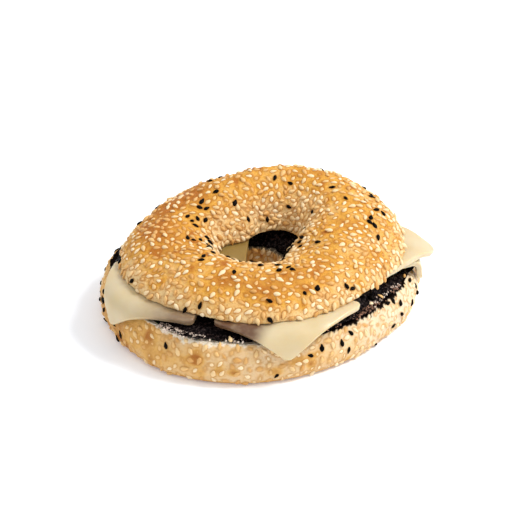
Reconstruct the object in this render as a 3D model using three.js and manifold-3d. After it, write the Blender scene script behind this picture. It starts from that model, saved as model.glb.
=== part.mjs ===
// A simit sandwich: a seeded bread ring cut through, spread with olive paste and filled with
// slices of pale cheese. Millimetres, +Z up, standing on z = 0, the side with the free cheese
// corner towards -Y. Angles are in degrees from +X towards +Y.

import * as THREE from "three";
import { mergeVertices } from "three/addons/utils/BufferGeometryUtils.js";
import Module from "manifold-3d";

const wasm = await Module();
wasm.setup();

// ---------------------------------------------------------------- driving dimensions

const CLEARANCE = 0.3; // between pieces that lie on each other
const ORIGIN = [2.21, -0.88]; // the middle of the whole sandwich, seen from above

// The lower half: a flat foot, a round side and a cut face that falls a little towards +X.
const BOTTOM = {
  centre: [-1.6, 0],
  radius: 63,
  lobes: [
    { count: 2, share: 0.052, toward: 47 },
    { count: 3, share: 0.023, toward: 23 },
    { count: 4, share: 0.01, toward: -1 },
    { count: 5, share: 0.009, toward: 20 },
  ],
  holeCentre: [-0.5, 6.5],
  holeRadius: 12.5,
  holeLobes: [{ count: 2, share: 0.12, toward: 115 }],
  cut: { height: 16.1, slopeX: -0.0335, slopeY: 0 },
  widestHeight: 6.1,
  footInset: 4, // from the widest outline in to the flat foot
  rimInset: 4, // from the widest outline in to the cut face
  holeFlare: 4, // how far the hole opens towards the foot
  sideArcs: [-90, -60, -30, 0, 30, 60, 90], // from the foot round the side to the cut edge
  wallLevels: [1, 0.75, 0.5, 0.25, 0], // from the cut face down the hole's wall to the foot
};

// The upper half: a cut face below and a crown that is higher at the back.
const TOP = {
  centre: [0.8, -0.4],
  radius: 55.4,
  lobes: [
    { count: 2, share: 0.056, toward: 36 },
    { count: 3, share: 0.029, toward: 38 },
    { count: 4, share: 0.006, toward: 30 },
    { count: 5, share: 0.013, toward: -14 },
  ],
  holeCentre: [-0.9, 1.6],
  holeRadius: 15.7,
  holeLobes: [
    { count: 2, share: 0.21, toward: 57 },
    { count: 3, share: 0.16, toward: 54 },
  ],
  cut: { height: 23.8, slopeX: 0.012, slopeY: 0.01 },
  crown: 13.9,
  crownLobes: [
    { count: 1, share: 0.345, toward: 86 },
    { count: 2, share: 0.1, toward: 69 },
  ],
  fullness: 1.79, // 2 is an ellipse, less is flatter at the shoulders
};

// Soft rises and creases of the crust. Across runs from -1 at the hole to +1 at the outer side,
// wide is in degrees round the ring and deep is in the unit of across.
const CROWN_RELIEF = [
  { toward: 205, across: 0.25, rise: -1.3, wide: 9, deep: 0.35 },
  { toward: 190, across: 0.5, rise: 0.9, wide: 10, deep: 0.4 },
  { toward: 222, across: 0.3, rise: 0.8, wide: 11, deep: 0.5 },
  { toward: 100, across: 0.1, rise: 0.9, wide: 22, deep: 0.25 },
  { toward: 128, across: -0.4, rise: 1.0, wide: 14, deep: 0.4 },
  { toward: 60, across: 0.4, rise: -0.8, wide: 12, deep: 0.4 },
  { toward: -20, across: -0.2, rise: 1.1, wide: 16, deep: 0.4 },
  { toward: -75, across: 0.2, rise: 0.6, wide: 18, deep: 0.5 },
];

// Slices of cheese, each by its four corners as it would lie flat, in order round it. A slice
// lies level under the upper half, or `below` other slices, and past `bendFrom` from the middle
// of the lower half it bends down over the rim.
const SLICE_THICKNESS = 2.4;
const SLICE_CELLS = 10;
const SLICE_CORNER_SHARE = 0.15; // the rounded corner, as a share of half a side
const SLICES = [
  {
    name: "cheese_left",
    corners: [[-26.5, -54], [-18.5, -21.5], [-58.2, -3], [-64.9, -38]],
    below: 0,
    bendFrom: 57.5,
    bendRadius: 7.5,
    bendMost: 82,
  },
  {
    name: "cheese_front",
    corners: [[10.8, -71], [38.6, -41.2], [8, -22], [-19.5, -53.5]],
    below: 0,
    bendFrom: 55.5,
    bendRadius: 9,
    bendMost: 72,
  },
  {
    name: "cheese_right_lower",
    corners: [[40, -15], [72.5, 5.6], [48, 30], [24, 12]],
    below: 1,
    bendFrom: 61.2,
    bendRadius: 4.5,
    bendMost: 80,
  },
  {
    name: "cheese_right_upper",
    corners: [[44.1, -22.8], [70.6, 9.3], [48, 33], [23.1, 1.7]],
    below: 0,
    bendFrom: 62,
    bendRadius: 13,
    bendMost: 32,
  },
  {
    name: "cheese_back",
    corners: [[-6.6, -9], [-4.5, 30], [-38, 32], [-40, -7]],
    below: 0,
    bendFrom: 60,
    bendRadius: 10,
    bendMost: 40,
  },
];

// Olive paste, a ragged layer on the lower cut face that fills what the cheese leaves free.
const PASTE = {
  rimMargin: 0.4,
  rimLobes: [
    { count: 5, share: 0.006, toward: 20 },
    { count: 9, share: 0.006, toward: 5 },
    { count: 14, share: 0.006, toward: 11 },
  ],
  drawnIn: { toward: 168, depth: 2.2, wide: 14 }, // where it stops short of the rim
  holeMargin: 1.5,
  thinnest: 0.75,
  edgeTaper: 7, // over this width the layer falls to its thinnest
  sliceMargin: 5.5, // round a slice that the paste stays under as well
  sliceClearance: 0.5,
  openDrop: 2.2, // below the upper cut face where no cheese lies
  lumpHeight: 0.8,
  lumpLengths: [9.5, 6.1], // of the lumps along X and along Y
  lumpSkew: [0.2, -0.15], // turns the two rows of lumps out of square
};

// Sesame seeds, flat teardrops sunk nearly half into the crust. They lie between two arcs of
// the crown or of the side.
const SEED = { length: 3.1, width: 1.9, thickness: 1.1, taper: 0.3, stand: 0.075 };
const CROWN_SEEDS = { count: 80, spacing: 8.6, seed: 7, arcFrom: 20, arcTo: 160 };
const SIDE_SEEDS = { count: 44, spacing: 9, seed: 23, arcFrom: -25, arcTo: 60 };
const SEED_SLICE_GAP = 5; // from a seed to any corner of a slice's grid
const SEED_DETAIL = 0.05; // facets smaller than this are merged where seeds meet the crust
const TRIES_PER_SEED = 40;

const STEPS_AROUND = 64;
const CROWN_STEPS = 13;
const PASTE_STEPS = 7;
const MERGE_WITHIN = 1e-4;
const FRAME_STEP = 0.01; // between the nearby points that show which way a surface faces

const CROWN_FINISH = { color: 0xdda75c, roughness: 0.6, metalness: 0 };
const SIDE_FINISH = { color: 0xe3c184, roughness: 0.7, metalness: 0 };
const CHEESE_FINISH = { color: 0xebdcb4, roughness: 0.4, metalness: 0 };
const PASTE_FINISH = { color: 0x1c1214, roughness: 0.45, metalness: 0 };

// ---------------------------------------------------------------- outlines and planes

const radians = THREE.MathUtils.degToRad;

// The radius at an angle of an outline that swells and dips round its middle.
function lobed(radius, lobes, angle) {
  const swell = lobes.reduce(
    (sum, lobe) => sum + lobe.share * Math.cos(lobe.count * (angle - radians(lobe.toward))),
    0,
  );
  return radius * (1 + swell);
}

// The height of a tilted cut face above the table.
function planeHeight(plane, x, y) {
  return plane.height + plane.slopeX * x + plane.slopeY * y;
}

// How far an angle has turned from a direction, the short way round.
function turnFrom(angle, toward) {
  const turn = angle - radians(toward);
  return Math.atan2(Math.sin(turn), Math.cos(turn));
}

function polar(centre, radius, angle) {
  return [centre[0] + radius * Math.cos(angle), centre[1] + radius * Math.sin(angle)];
}

// The point a share of the way from one plane point to another.
function between(from, to, share) {
  return [from[0] + (to[0] - from[0]) * share, from[1] + (to[1] - from[1]) * share];
}

// A repeatable stream of numbers from 0 to 1.
function randomStream(seed) {
  let state = seed;
  return () => {
    state = (Math.imul(state, 1664525) + 1013904223) >>> 0;
    return state / 2 ** 32;
  };
}

// ---------------------------------------------------------------- solids

// A solid from a geometry whose faces close it.
function solidFrom(geometry) {
  geometry.deleteAttribute("normal");
  geometry.deleteAttribute("uv");
  const merged = mergeVertices(geometry, MERGE_WITHIN);
  return new wasm.Manifold(
    new wasm.Mesh({
      numProp: 3,
      vertProperties: new Float32Array(merged.attributes.position.array),
      triVerts: new Uint32Array(merged.index.array),
    }),
  );
}

// A solid ring from closed sections, each a list of as many points.
function ringSolid(sections) {
  const count = sections[0].length;
  const index = [];
  sections.forEach((section, i) => {
    const here = i * count;
    const next = ((i + 1) % sections.length) * count;
    section.forEach((_, j) => {
      const after = (j + 1) % count;
      index.push(here + j, next + j, next + after);
      index.push(here + j, next + after, here + after);
    });
  });
  const geometry = new THREE.BufferGeometry().setFromPoints(sections.flat());
  return solidFrom(geometry.setIndex(index));
}

function meshFrom(solid, name, finish) {
  const made = solid.getMesh();
  const geometry = new THREE.BufferGeometry();
  geometry.setAttribute("position", new THREE.BufferAttribute(made.vertProperties, 3));
  geometry.setIndex(new THREE.BufferAttribute(made.triVerts, 1));
  geometry.computeVertexNormals();
  const mesh = new THREE.Mesh(geometry, new THREE.MeshStandardMaterial(finish));
  mesh.name = name;
  return mesh;
}

function anglesAround(steps) {
  return Array.from({ length: steps }, (_, i) => (2 * Math.PI * i) / steps);
}

// ---------------------------------------------------------------- the upper half

// How much the crust rises or dips at a place on the crown.
function crownRelief(angle, across) {
  return CROWN_RELIEF.reduce((sum, { toward, across: middle, rise, wide, deep }) => {
    const turn = turnFrom(angle, toward) / radians(wide);
    const far = turn ** 2 + ((across - middle) / deep) ** 2;
    return sum + rise * Math.exp(-far / 2);
  }, 0);
}

// A point of the crown. The arc runs from 0 at the outer cut edge to 180 degrees at the hole.
function crownPoint(angle, arc) {
  const power = 2 / TOP.fullness;
  const across = Math.sign(Math.cos(arc)) * Math.abs(Math.cos(arc)) ** power;
  const lift = Math.abs(Math.sin(arc)) ** power;
  const outer = polar(TOP.centre, lobed(TOP.radius, TOP.lobes, angle), angle);
  const inner = polar(TOP.holeCentre, lobed(TOP.holeRadius, TOP.holeLobes, angle), angle);
  const [x, y] = between(inner, outer, (1 + across) / 2);
  const rise = lobed(TOP.crown, TOP.crownLobes, angle) + crownRelief(angle, across);
  return new THREE.Vector3(x, y, planeHeight(TOP.cut, x, y) + rise * lift);
}

function topHalf() {
  const arcs = Array.from({ length: CROWN_STEPS + 1 }, (_, j) => (Math.PI * j) / CROWN_STEPS);
  return ringSolid(
    anglesAround(STEPS_AROUND).map((angle) => arcs.map((arc) => crownPoint(angle, arc))),
  );
}

// ---------------------------------------------------------------- the lower half

// A point of the round side. The arc runs from -90 degrees at the foot to +90 at the cut edge.
function sidePoint(angle, arc) {
  const widest = lobed(BOTTOM.radius, BOTTOM.lobes, angle);
  if (arc < 0) {
    const inset = BOTTOM.footInset * (1 - Math.cos(arc));
    const [x, y] = polar(BOTTOM.centre, widest - inset, angle);
    return new THREE.Vector3(x, y, BOTTOM.widestHeight * (1 + Math.sin(arc)));
  }
  const share = arc / (Math.PI / 2);
  const [x, y] = polar(BOTTOM.centre, widest - BOTTOM.rimInset * share ** 2, angle);
  const above = planeHeight(BOTTOM.cut, x, y) - BOTTOM.widestHeight;
  return new THREE.Vector3(x, y, BOTTOM.widestHeight + above * share);
}

// A point of the hole's wall, which narrows from the foot, at level 0, to the cut face, at 1.
function holeWallPoint(angle, level) {
  const narrow = lobed(BOTTOM.holeRadius, BOTTOM.holeLobes, angle);
  const [x, y] = polar(BOTTOM.holeCentre, narrow + BOTTOM.holeFlare * (1 - level) ** 2, angle);
  return new THREE.Vector3(x, y, planeHeight(BOTTOM.cut, x, y) * level);
}

function bottomHalf() {
  const sections = anglesAround(STEPS_AROUND).map((angle) => [
    ...BOTTOM.sideArcs.map((arc) => sidePoint(angle, radians(arc))),
    ...BOTTOM.wallLevels.map((level) => holeWallPoint(angle, level)),
  ]);
  return ringSolid(sections);
}

// ---------------------------------------------------------------- cheese

// The underside of the upper half's cut face, less what lies between it and a slice's middle.
function bedHeight(slice, x, y) {
  const stacked = CLEARANCE + SLICE_THICKNESS;
  return planeHeight(TOP.cut, x, y) - CLEARANCE - SLICE_THICKNESS / 2 - slice.below * stacked;
}

// Bends a flat slice down over the rim: past `bendFrom` it follows an arc, then runs straight.
function drape(slice, x, y, aboveMiddle) {
  const outward = new THREE.Vector2(x - BOTTOM.centre[0], y - BOTTOM.centre[1]);
  const beyond = outward.length() - slice.bendFrom;
  if (beyond <= 0) return new THREE.Vector3(x, y, bedHeight(slice, x, y) + aboveMiddle);
  outward.normalize();
  const turn = Math.min(beyond / slice.bendRadius, radians(slice.bendMost));
  const straight = beyond - slice.bendRadius * turn;
  const radius = slice.bendRadius + aboveMiddle;
  const reach = slice.bendFrom + radius * Math.sin(turn) + straight * Math.cos(turn);
  const drop = slice.bendRadius - radius * Math.cos(turn) + straight * Math.sin(turn);
  const rimX = BOTTOM.centre[0] + outward.x * slice.bendFrom;
  const rimY = BOTTOM.centre[1] + outward.y * slice.bendFrom;
  return new THREE.Vector3(
    BOTTOM.centre[0] + outward.x * reach,
    BOTTOM.centre[1] + outward.y * reach,
    bedHeight(slice, rimX, rimY) - drop,
  );
}

// The height of a slice's underside over a place inside the reach of its bend.
function undersideHeight(slice, x, y) {
  const beyond = Math.hypot(x - BOTTOM.centre[0], y - BOTTOM.centre[1]) - slice.bendFrom;
  const radius = slice.bendRadius - SLICE_THICKNESS / 2;
  const dip = beyond > 0 ? radius - Math.sqrt(Math.max(0, radius ** 2 - beyond ** 2)) : 0;
  return bedHeight(slice, x, y) - SLICE_THICKNESS / 2 - dip;
}

// Moves a place in the square from -1 to 1 so that the square's corners are rounded.
function roundedSquare(x, y) {
  const straight = 1 - SLICE_CORNER_SHARE;
  const [overX, overY] = [Math.abs(x) - straight, Math.abs(y) - straight];
  if (overX <= 0 || overY <= 0) return [x, y];
  const pull = Math.max(overX, overY) / Math.hypot(overX, overY);
  return [Math.sign(x) * (straight + overX * pull), Math.sign(y) * (straight + overY * pull)];
}

// Spreads an even grid so that its last cells are as wide as the rounded corners.
function cornerSpacing(value) {
  const lastLine = 1 - 2 / SLICE_CELLS;
  const straight = 1 - SLICE_CORNER_SHARE;
  return Math.abs(value) > lastLine ? value : (value * straight) / lastLine;
}

function sliceSolid(slice) {
  const geometry = new THREE.BoxGeometry(2, 2, SLICE_THICKNESS, SLICE_CELLS, SLICE_CELLS, 1);
  const place = geometry.attributes.position;
  for (let i = 0; i < place.count; i++) {
    const [across, along] = roundedSquare(cornerSpacing(place.getX(i)), cornerSpacing(place.getY(i)));
    const front = between(slice.corners[0], slice.corners[1], (1 + across) / 2);
    const back = between(slice.corners[3], slice.corners[2], (1 + across) / 2);
    const [x, y] = between(front, back, (1 + along) / 2);
    place.setXYZ(i, ...drape(slice, x, y, place.getZ(i)));
  }
  return solidFrom(geometry);
}

// How far a point lies inside a slice's flat outline, less than 0 outside it.
function insideSlice(slice, x, y) {
  const depths = slice.corners.map(([ax, ay], i) => {
    const [bx, by] = slice.corners[(i + 1) % slice.corners.length];
    return ((bx - ax) * (y - ay) - (by - ay) * (x - ax)) / Math.hypot(bx - ax, by - ay);
  });
  return Math.min(...depths);
}

// ---------------------------------------------------------------- olive paste

// The top of the paste over a place that is `inward` from the layer's nearer edge.
function pasteHeight(x, y, inward) {
  const floor = planeHeight(BOTTOM.cut, x, y) + CLEARANCE + PASTE.thinnest;
  const covering = SLICES.filter((slice) => insideSlice(slice, x, y) > -PASTE.sliceMargin);
  const [turnX, turnY] = PASTE.lumpLengths.map((length) => (2 * Math.PI) / length);
  const [skewX, skewY] = PASTE.lumpSkew;
  const lump = PASTE.lumpHeight * Math.sin(x * turnX + y * skewX) * Math.sin(y * turnY + x * skewY);
  const open = planeHeight(TOP.cut, x, y) - PASTE.openDrop + lump;
  const undersides = covering.map((slice) => undersideHeight(slice, x, y));
  const full = Math.min(open, ...undersides.map((height) => height - PASTE.sliceClearance));
  const taper = Math.min(1, Math.max(0, inward) / PASTE.edgeTaper);
  return floor + Math.max(0, full - floor) * taper;
}

// The radius of the paste's ragged outer edge.
function pasteRim(angle) {
  const rim = lobed(BOTTOM.radius, BOTTOM.lobes, angle) - BOTTOM.rimInset - PASTE.rimMargin;
  const { toward, depth, wide } = PASTE.drawnIn;
  const short = depth * Math.exp(-((turnFrom(angle, toward) / radians(wide)) ** 2) / 2);
  return lobed(rim, PASTE.rimLobes, angle) - short;
}

function pasteSolid() {
  const sections = anglesAround(STEPS_AROUND).map((angle) => {
    const outer = polar(BOTTOM.centre, pasteRim(angle), angle);
    const hole = lobed(BOTTOM.holeRadius, BOTTOM.holeLobes, angle) + PASTE.holeMargin;
    const inner = polar(BOTTOM.holeCentre, hole, angle);
    const width = Math.hypot(outer[0] - inner[0], outer[1] - inner[1]);
    const under = [inner, outer].map(
      ([x, y]) => new THREE.Vector3(x, y, planeHeight(BOTTOM.cut, x, y) + CLEARANCE),
    );
    const over = Array.from({ length: PASTE_STEPS + 1 }, (_, j) => {
      const share = 1 - j / PASTE_STEPS;
      const [x, y] = between(inner, outer, share);
      const inward = width * Math.min(share, 1 - share);
      return new THREE.Vector3(x, y, pasteHeight(x, y, inward));
    });
    return [...under, ...over];
  });
  return ringSolid(sections);
}

// ---------------------------------------------------------------- seeds

// A flat teardrop, its length along X.
function seedGeometry() {
  const geometry = new THREE.OctahedronGeometry(0.5, 1);
  const place = geometry.attributes.position;
  for (let i = 0; i < place.count; i++) {
    const along = place.getX(i);
    const slim = 1 - 2 * SEED.taper * along;
    const width = place.getY(i) * SEED.width * slim;
    const height = place.getZ(i) * SEED.thickness * slim;
    place.setXYZ(i, along * SEED.length, width, height + SEED.stand);
  }
  return geometry;
}

// Where a surface lies and which way it faces, from two nearby points along each direction.
function surfaceFrame(pointAt, angle, arc) {
  const point = pointAt(angle, arc);
  const round = pointAt(angle + FRAME_STEP, arc).sub(point);
  const over = pointAt(angle, arc + FRAME_STEP).sub(point);
  return { point, normal: round.clone().cross(over).normalize(), round: round.normalize() };
}

// Places seeds one by one at least `spacing` apart, clear of every slice, and joins them on.
function addSeeds(body, pointAt, plan, slicePoints) {
  const random = randomStream(plan.seed);
  const placed = [];
  const mostTries = TRIES_PER_SEED * plan.count;
  let solid = body;
  for (let tries = 0; placed.length < plan.count && tries < mostTries; tries++) {
    const angle = 2 * Math.PI * random();
    const arc = radians(plan.arcFrom + (plan.arcTo - plan.arcFrom) * random());
    const { point, normal, round } = surfaceFrame(pointAt, angle, arc);
    const crowded = placed.some((other) => other.distanceTo(point) < plan.spacing);
    const touching = slicePoints.some((corner) => corner.distanceTo(point) < SEED_SLICE_GAP);
    if (crowded || touching) continue;
    const length = round.clone().applyAxisAngle(normal, random() * 2 * Math.PI);
    const basis = new THREE.Matrix4().makeBasis(length, normal.clone().cross(length), normal);
    solid = solid.add(solidFrom(seedGeometry().applyMatrix4(basis.setPosition(point))));
    placed.push(point);
  }
  return solid.simplify(SEED_DETAIL);
}

// ---------------------------------------------------------------- the sandwich

const slices = SLICES.map((slice) => ({ name: slice.name, solid: sliceSolid(slice) }));
const slicePoints = slices.flatMap(({ solid }) => {
  const made = solid.getMesh();
  return Array.from({ length: made.numVert }, (_, i) =>
    new THREE.Vector3().fromArray(made.vertProperties, i * made.numProp),
  );
});

const bottom = addSeeds(bottomHalf(), sidePoint, SIDE_SEEDS, slicePoints);
const top = addSeeds(topHalf(), crownPoint, CROWN_SEEDS, slicePoints);

const sandwich = new THREE.Group();
sandwich.add(
  meshFrom(bottom, "bottom_bun", SIDE_FINISH),
  meshFrom(pasteSolid(), "olive_paste", PASTE_FINISH),
  ...slices.map(({ name, solid }) => meshFrom(solid, name, CHEESE_FINISH)),
  meshFrom(top, "top_bun", CROWN_FINISH),
);
sandwich.position.set(-ORIGIN[0], -ORIGIN[1], 0);

export default sandwich;
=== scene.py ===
"""Looks of a simit sandwich: a seeded bread ring with olive paste and slices of cheese between.

The classes hold their sizes in millimetres, on the sandwich's own plan, and `to_frame` turns a
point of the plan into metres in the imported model's frame. Angles are in degrees from +X to +Y.
"""

import logging
import math
from collections.abc import Iterator
from dataclasses import dataclass, field
from enum import Enum

import bpy
import numpy as np
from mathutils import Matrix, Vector


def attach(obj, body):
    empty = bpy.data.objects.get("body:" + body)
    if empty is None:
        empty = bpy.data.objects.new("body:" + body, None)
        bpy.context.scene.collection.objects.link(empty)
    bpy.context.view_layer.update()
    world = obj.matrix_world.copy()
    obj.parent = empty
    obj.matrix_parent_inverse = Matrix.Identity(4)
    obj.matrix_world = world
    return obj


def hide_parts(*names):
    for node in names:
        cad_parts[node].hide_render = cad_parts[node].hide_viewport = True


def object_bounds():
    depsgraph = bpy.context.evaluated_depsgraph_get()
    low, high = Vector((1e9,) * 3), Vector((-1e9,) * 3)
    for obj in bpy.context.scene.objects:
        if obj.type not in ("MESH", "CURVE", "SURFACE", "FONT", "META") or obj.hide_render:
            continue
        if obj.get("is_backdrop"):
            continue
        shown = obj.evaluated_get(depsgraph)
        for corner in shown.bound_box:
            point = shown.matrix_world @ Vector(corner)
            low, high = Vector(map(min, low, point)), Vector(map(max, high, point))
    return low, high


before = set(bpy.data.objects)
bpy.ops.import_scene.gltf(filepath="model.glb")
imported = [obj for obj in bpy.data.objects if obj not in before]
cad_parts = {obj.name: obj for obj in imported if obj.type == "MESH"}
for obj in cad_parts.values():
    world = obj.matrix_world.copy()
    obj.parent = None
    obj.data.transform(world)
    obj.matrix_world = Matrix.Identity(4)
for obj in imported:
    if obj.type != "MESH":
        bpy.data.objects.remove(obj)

LOG = logging.getLogger("sandwich")
MM = 0.001
BODY = "root"
PLAN_MIDDLE = np.array([2.21, -0.88, 0.0])  # the point of the plan over the frame's origin
CLEARANCE = 0.3  # between pieces that lie on each other
WEIGHT_STEPS = 16  # how finely a vertex group's weights are told apart
CELLS_AROUND = [(i, j, k) for i in (-1, 0, 1) for j in (-1, 0, 1) for k in (-1, 0, 1)]
SWOLLEN = (2.0, 1.1)  # from where to where the crust swells round a seed, whose outline is at 1

Object = bpy.types.Object
Material = bpy.types.Material
Node = bpy.types.Node
Socket = bpy.types.NodeSocket
Tree = bpy.types.NodeTree
Array = np.ndarray
Cell = tuple[int, int, int]


# ---------------------------------------------------------------- plan and outlines


def to_frame(points: Array) -> Array:
    """Turns points of the plan, in millimetres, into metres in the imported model's frame."""
    return (points - PLAN_MIDDLE) * MM


def to_plan(points: Array) -> Array:
    """Turns points of the frame, in metres, back into millimetres on the plan."""
    return points / MM + PLAN_MIDDLE


def stack(x: Array, y: Array, z: Array) -> Array:
    """Joins three lists of numbers into one list of points."""
    return np.stack([x, y, z], axis=-1)


def on_circle(centre: tuple[float, float], radius: Array, angle: Array) -> tuple[Array, Array]:
    """The x and y of points at a radius and an angle from a centre."""
    return centre[0] + radius * np.cos(angle), centre[1] + radius * np.sin(angle)


def smooth(low: float, high: float, value: Array) -> Array:
    """Rises softly from 0 where value is low to 1 where it is high."""
    share = np.clip((value - low) / (high - low), 0.0, 1.0)
    return share * share * (3.0 - 2.0 * share)


@dataclass(frozen=True)
class Lobe:
    """One even swelling of a round outline.

    Args:
        count: how many times it swells in a turn.
        share: how far, as a share of the radius.
        toward: the direction of one of its swellings.
    """

    count: int
    share: float
    toward: float


@dataclass(frozen=True)
class Swell:
    """A soft patch on a ring, used for lumps, creases, browning and how the seeds lie.

    Args:
        toward: its direction from the middle of the ring.
        across: its place from -1 at the hole to +1 at the outer side.
        rise: its height or strength.
        wide: its half width round the ring, in degrees.
        deep: its half width across, in the unit of across.
    """

    toward: float
    across: float
    rise: float
    wide: float
    deep: float


@dataclass(frozen=True)
class CutFace:
    """A flat cut through the bread, tilted a little."""

    height: float
    slope_x: float
    slope_y: float

    def at(self, x: Array, y: Array) -> Array:
        """The height of the cut over a place."""
        return self.height + self.slope_x * x + self.slope_y * y


def lobed(radius: Array, lobes: tuple[Lobe, ...], angle: Array) -> Array:
    """The radius at each angle of an outline that swells and dips.

    Args:
        radius: the radius without its swellings.
        lobes: the swellings.
        angle: round the outline, in radians.

    Returns:
        The radii.
    """
    swell = sum(lobe.share * np.cos(lobe.count * (angle - math.radians(lobe.toward))) for lobe in lobes)
    return radius * (1.0 + swell)


def swells_at(swells: tuple[Swell, ...], angle: Array, across: Array | float = 0.0) -> Array:
    """The sum of soft patches at each place of a ring.

    Args:
        swells: the patches.
        angle: round the ring, in radians.
        across: as the patches' own; left out for patches that lie all across.

    Returns:
        The sums.
    """
    total = np.zeros_like(angle)
    for swell in swells:
        turn = angle - math.radians(swell.toward)
        turn = np.arctan2(np.sin(turn), np.cos(turn)) / math.radians(swell.wide)
        total += swell.rise * np.exp(-(turn**2 + ((across - swell.across) / swell.deep) ** 2) / 2.0)
    return total


# ---------------------------------------------------------------- the bread's form


@dataclass(frozen=True)
class UpperForm:
    """The upper half of the ring: a flat cut below and a crown that is higher at the back."""

    centre: tuple[float, float] = (0.8, -0.4)
    radius: float = 55.4
    lobes: tuple[Lobe, ...] = (
        Lobe(2, 0.056, 36), Lobe(3, 0.029, 38), Lobe(4, 0.006, 30), Lobe(5, 0.013, -14),
    )
    hole_centre: tuple[float, float] = (-0.9, 1.6)
    hole_radius: float = 15.7
    hole_lobes: tuple[Lobe, ...] = (Lobe(2, 0.21, 57), Lobe(3, 0.16, 54))
    cut: CutFace = CutFace(23.8, 0.012, 0.01)
    crown: float = 13.9
    crown_lobes: tuple[Lobe, ...] = (Lobe(1, 0.345, 86), Lobe(2, 0.1, 69))
    fullness: float = 1.79  # 2 is an ellipse, less is flatter at the shoulders
    relief: tuple[Swell, ...] = (
        Swell(205, 0.25, -1.3, 9, 0.35),
        Swell(190, 0.5, 0.9, 10, 0.4),
        Swell(222, 0.3, 0.8, 11, 0.5),
        Swell(100, 0.1, 0.9, 22, 0.25),
        Swell(128, -0.4, 1.0, 14, 0.4),
        Swell(60, 0.4, -0.8, 12, 0.4),
        Swell(-20, -0.2, 1.1, 16, 0.4),
        Swell(-75, 0.2, 0.6, 18, 0.5),
    )

    def point(self, angle: Array, turn: Array) -> tuple[Array, Array]:
        """A point of the half's skin.

        Args:
            angle: round the ring, in radians.
            turn: round the section, 0 at the outer edge, half a turn at the hole and back below.

        Returns:
            The points on the plan, and how far across each lies, from -1 to +1.
        """
        above = turn <= math.pi
        power = 2.0 / self.fullness
        crown_across = np.sign(np.cos(turn)) * np.abs(np.cos(turn)) ** power
        across = np.where(above, crown_across, 2.0 * (turn - math.pi) / math.pi - 1.0)
        lift = np.where(above, np.abs(np.sin(turn)) ** power, 0.0)
        outer_x, outer_y = on_circle(self.centre, lobed(self.radius, self.lobes, angle), angle)
        hole = lobed(self.hole_radius, self.hole_lobes, angle)
        inner_x, inner_y = on_circle(self.hole_centre, hole, angle)
        share = (1.0 + across) / 2.0
        x = inner_x + (outer_x - inner_x) * share
        y = inner_y + (outer_y - inner_y) * share
        rise = lobed(self.crown, self.crown_lobes, angle) + swells_at(self.relief, angle, across)
        return stack(x, y, self.cut.at(x, y) + rise * lift), across


@dataclass(frozen=True)
class LowerForm:
    """The lower half of the ring: a flat foot, a round side and a cut that falls towards +X."""

    centre: tuple[float, float] = (-1.6, 0.0)
    radius: float = 63.0
    lobes: tuple[Lobe, ...] = (
        Lobe(2, 0.052, 47), Lobe(3, 0.023, 23), Lobe(4, 0.01, -1), Lobe(5, 0.009, 20),
    )
    hole_centre: tuple[float, float] = (-0.5, 6.5)
    hole_radius: float = 12.5
    hole_lobes: tuple[Lobe, ...] = (Lobe(2, 0.12, 115),)
    cut: CutFace = CutFace(16.1, -0.0335, 0.0)
    widest_height: float = 6.1
    foot_inset: float = 4.0
    rim_inset: float = 4.0
    hole_flare: float = 4.0

    def side(self, angle: Array, arc: Array) -> Array:
        """A point of the round side.

        Args:
            angle: round the ring, in radians.
            arc: up the side, from minus a quarter turn at the foot to a quarter turn at the cut.

        Returns:
            The points on the plan.
        """
        widest = lobed(self.radius, self.lobes, angle)
        up = np.clip(arc / (math.pi / 2.0), 0.0, 1.0)
        inset = np.where(arc < 0, self.foot_inset * (1.0 - np.cos(arc)), self.rim_inset * up**2)
        x, y = on_circle(self.centre, widest - inset, angle)
        low = self.widest_height * (1.0 + np.sin(np.minimum(arc, 0.0)))
        return stack(x, y, low + (self.cut.at(x, y) - self.widest_height) * up)

    def hole_wall(self, angle: Array, level: Array) -> Array:
        """A point of the hole's wall.

        Args:
            angle: round the ring, in radians.
            level: up the wall, from 0 at the foot to 1 at the cut.

        Returns:
            The points on the plan.
        """
        wall = lobed(self.hole_radius, self.hole_lobes, angle) + self.hole_flare * (1.0 - level) ** 2
        x, y = on_circle(self.hole_centre, wall, angle)
        return stack(x, y, self.cut.at(x, y) * level)

    def point(self, angle: Array, turn: Array) -> tuple[Array, Array]:
        """A point of the half's skin.

        Args:
            angle: round the ring, in radians.
            turn: round the section in radians: the side to half a turn, then the cut, the hole's
                wall and the foot.

        Returns:
            The points on the plan, and the height up the side or wall from 0 to 1, over 1 on the cut.
        """
        third = math.pi / 3.0  # the cut, the wall and the foot take a third of half a turn each
        arc = np.clip(turn, 0.0, math.pi) - math.pi / 2.0
        side = self.side(angle, arc)
        cut_share = np.clip((turn - math.pi) / third, 0.0, 1.0) ** 2
        level = 1.0 - np.clip((turn - math.pi - third) / third, 0.0, 1.0)
        foot_share = np.clip((turn - math.pi - 2.0 * third) / third, 0.0, 1.0)[:, None]
        wall = self.hole_wall(angle, level)
        foot_edge = self.side(angle, np.full_like(angle, -math.pi / 2.0))
        on_cut = side + (wall - side) * cut_share[:, None]
        on_foot = wall + (foot_edge - wall) * foot_share
        points = np.where((turn <= math.pi)[:, None], side, on_cut)
        points = np.where((turn > math.pi + third)[:, None], on_foot, points)
        height = np.where(turn <= math.pi, smooth(-math.pi / 2, math.pi / 2, arc), level)
        on_cut_face = (turn > math.pi) & (turn <= math.pi + third)
        return points, np.where(on_cut_face, 1.0 + cut_share, height)


# ---------------------------------------------------------------- modelling by hand in Blender


def deselect_all() -> None:
    """Leaves edit mode and deselects every object."""
    active = bpy.context.view_layer.objects.active
    if active is not None and active.mode != "OBJECT":
        bpy.ops.object.mode_set(mode="OBJECT")
    bpy.ops.object.select_all(action="DESELECT")


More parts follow.
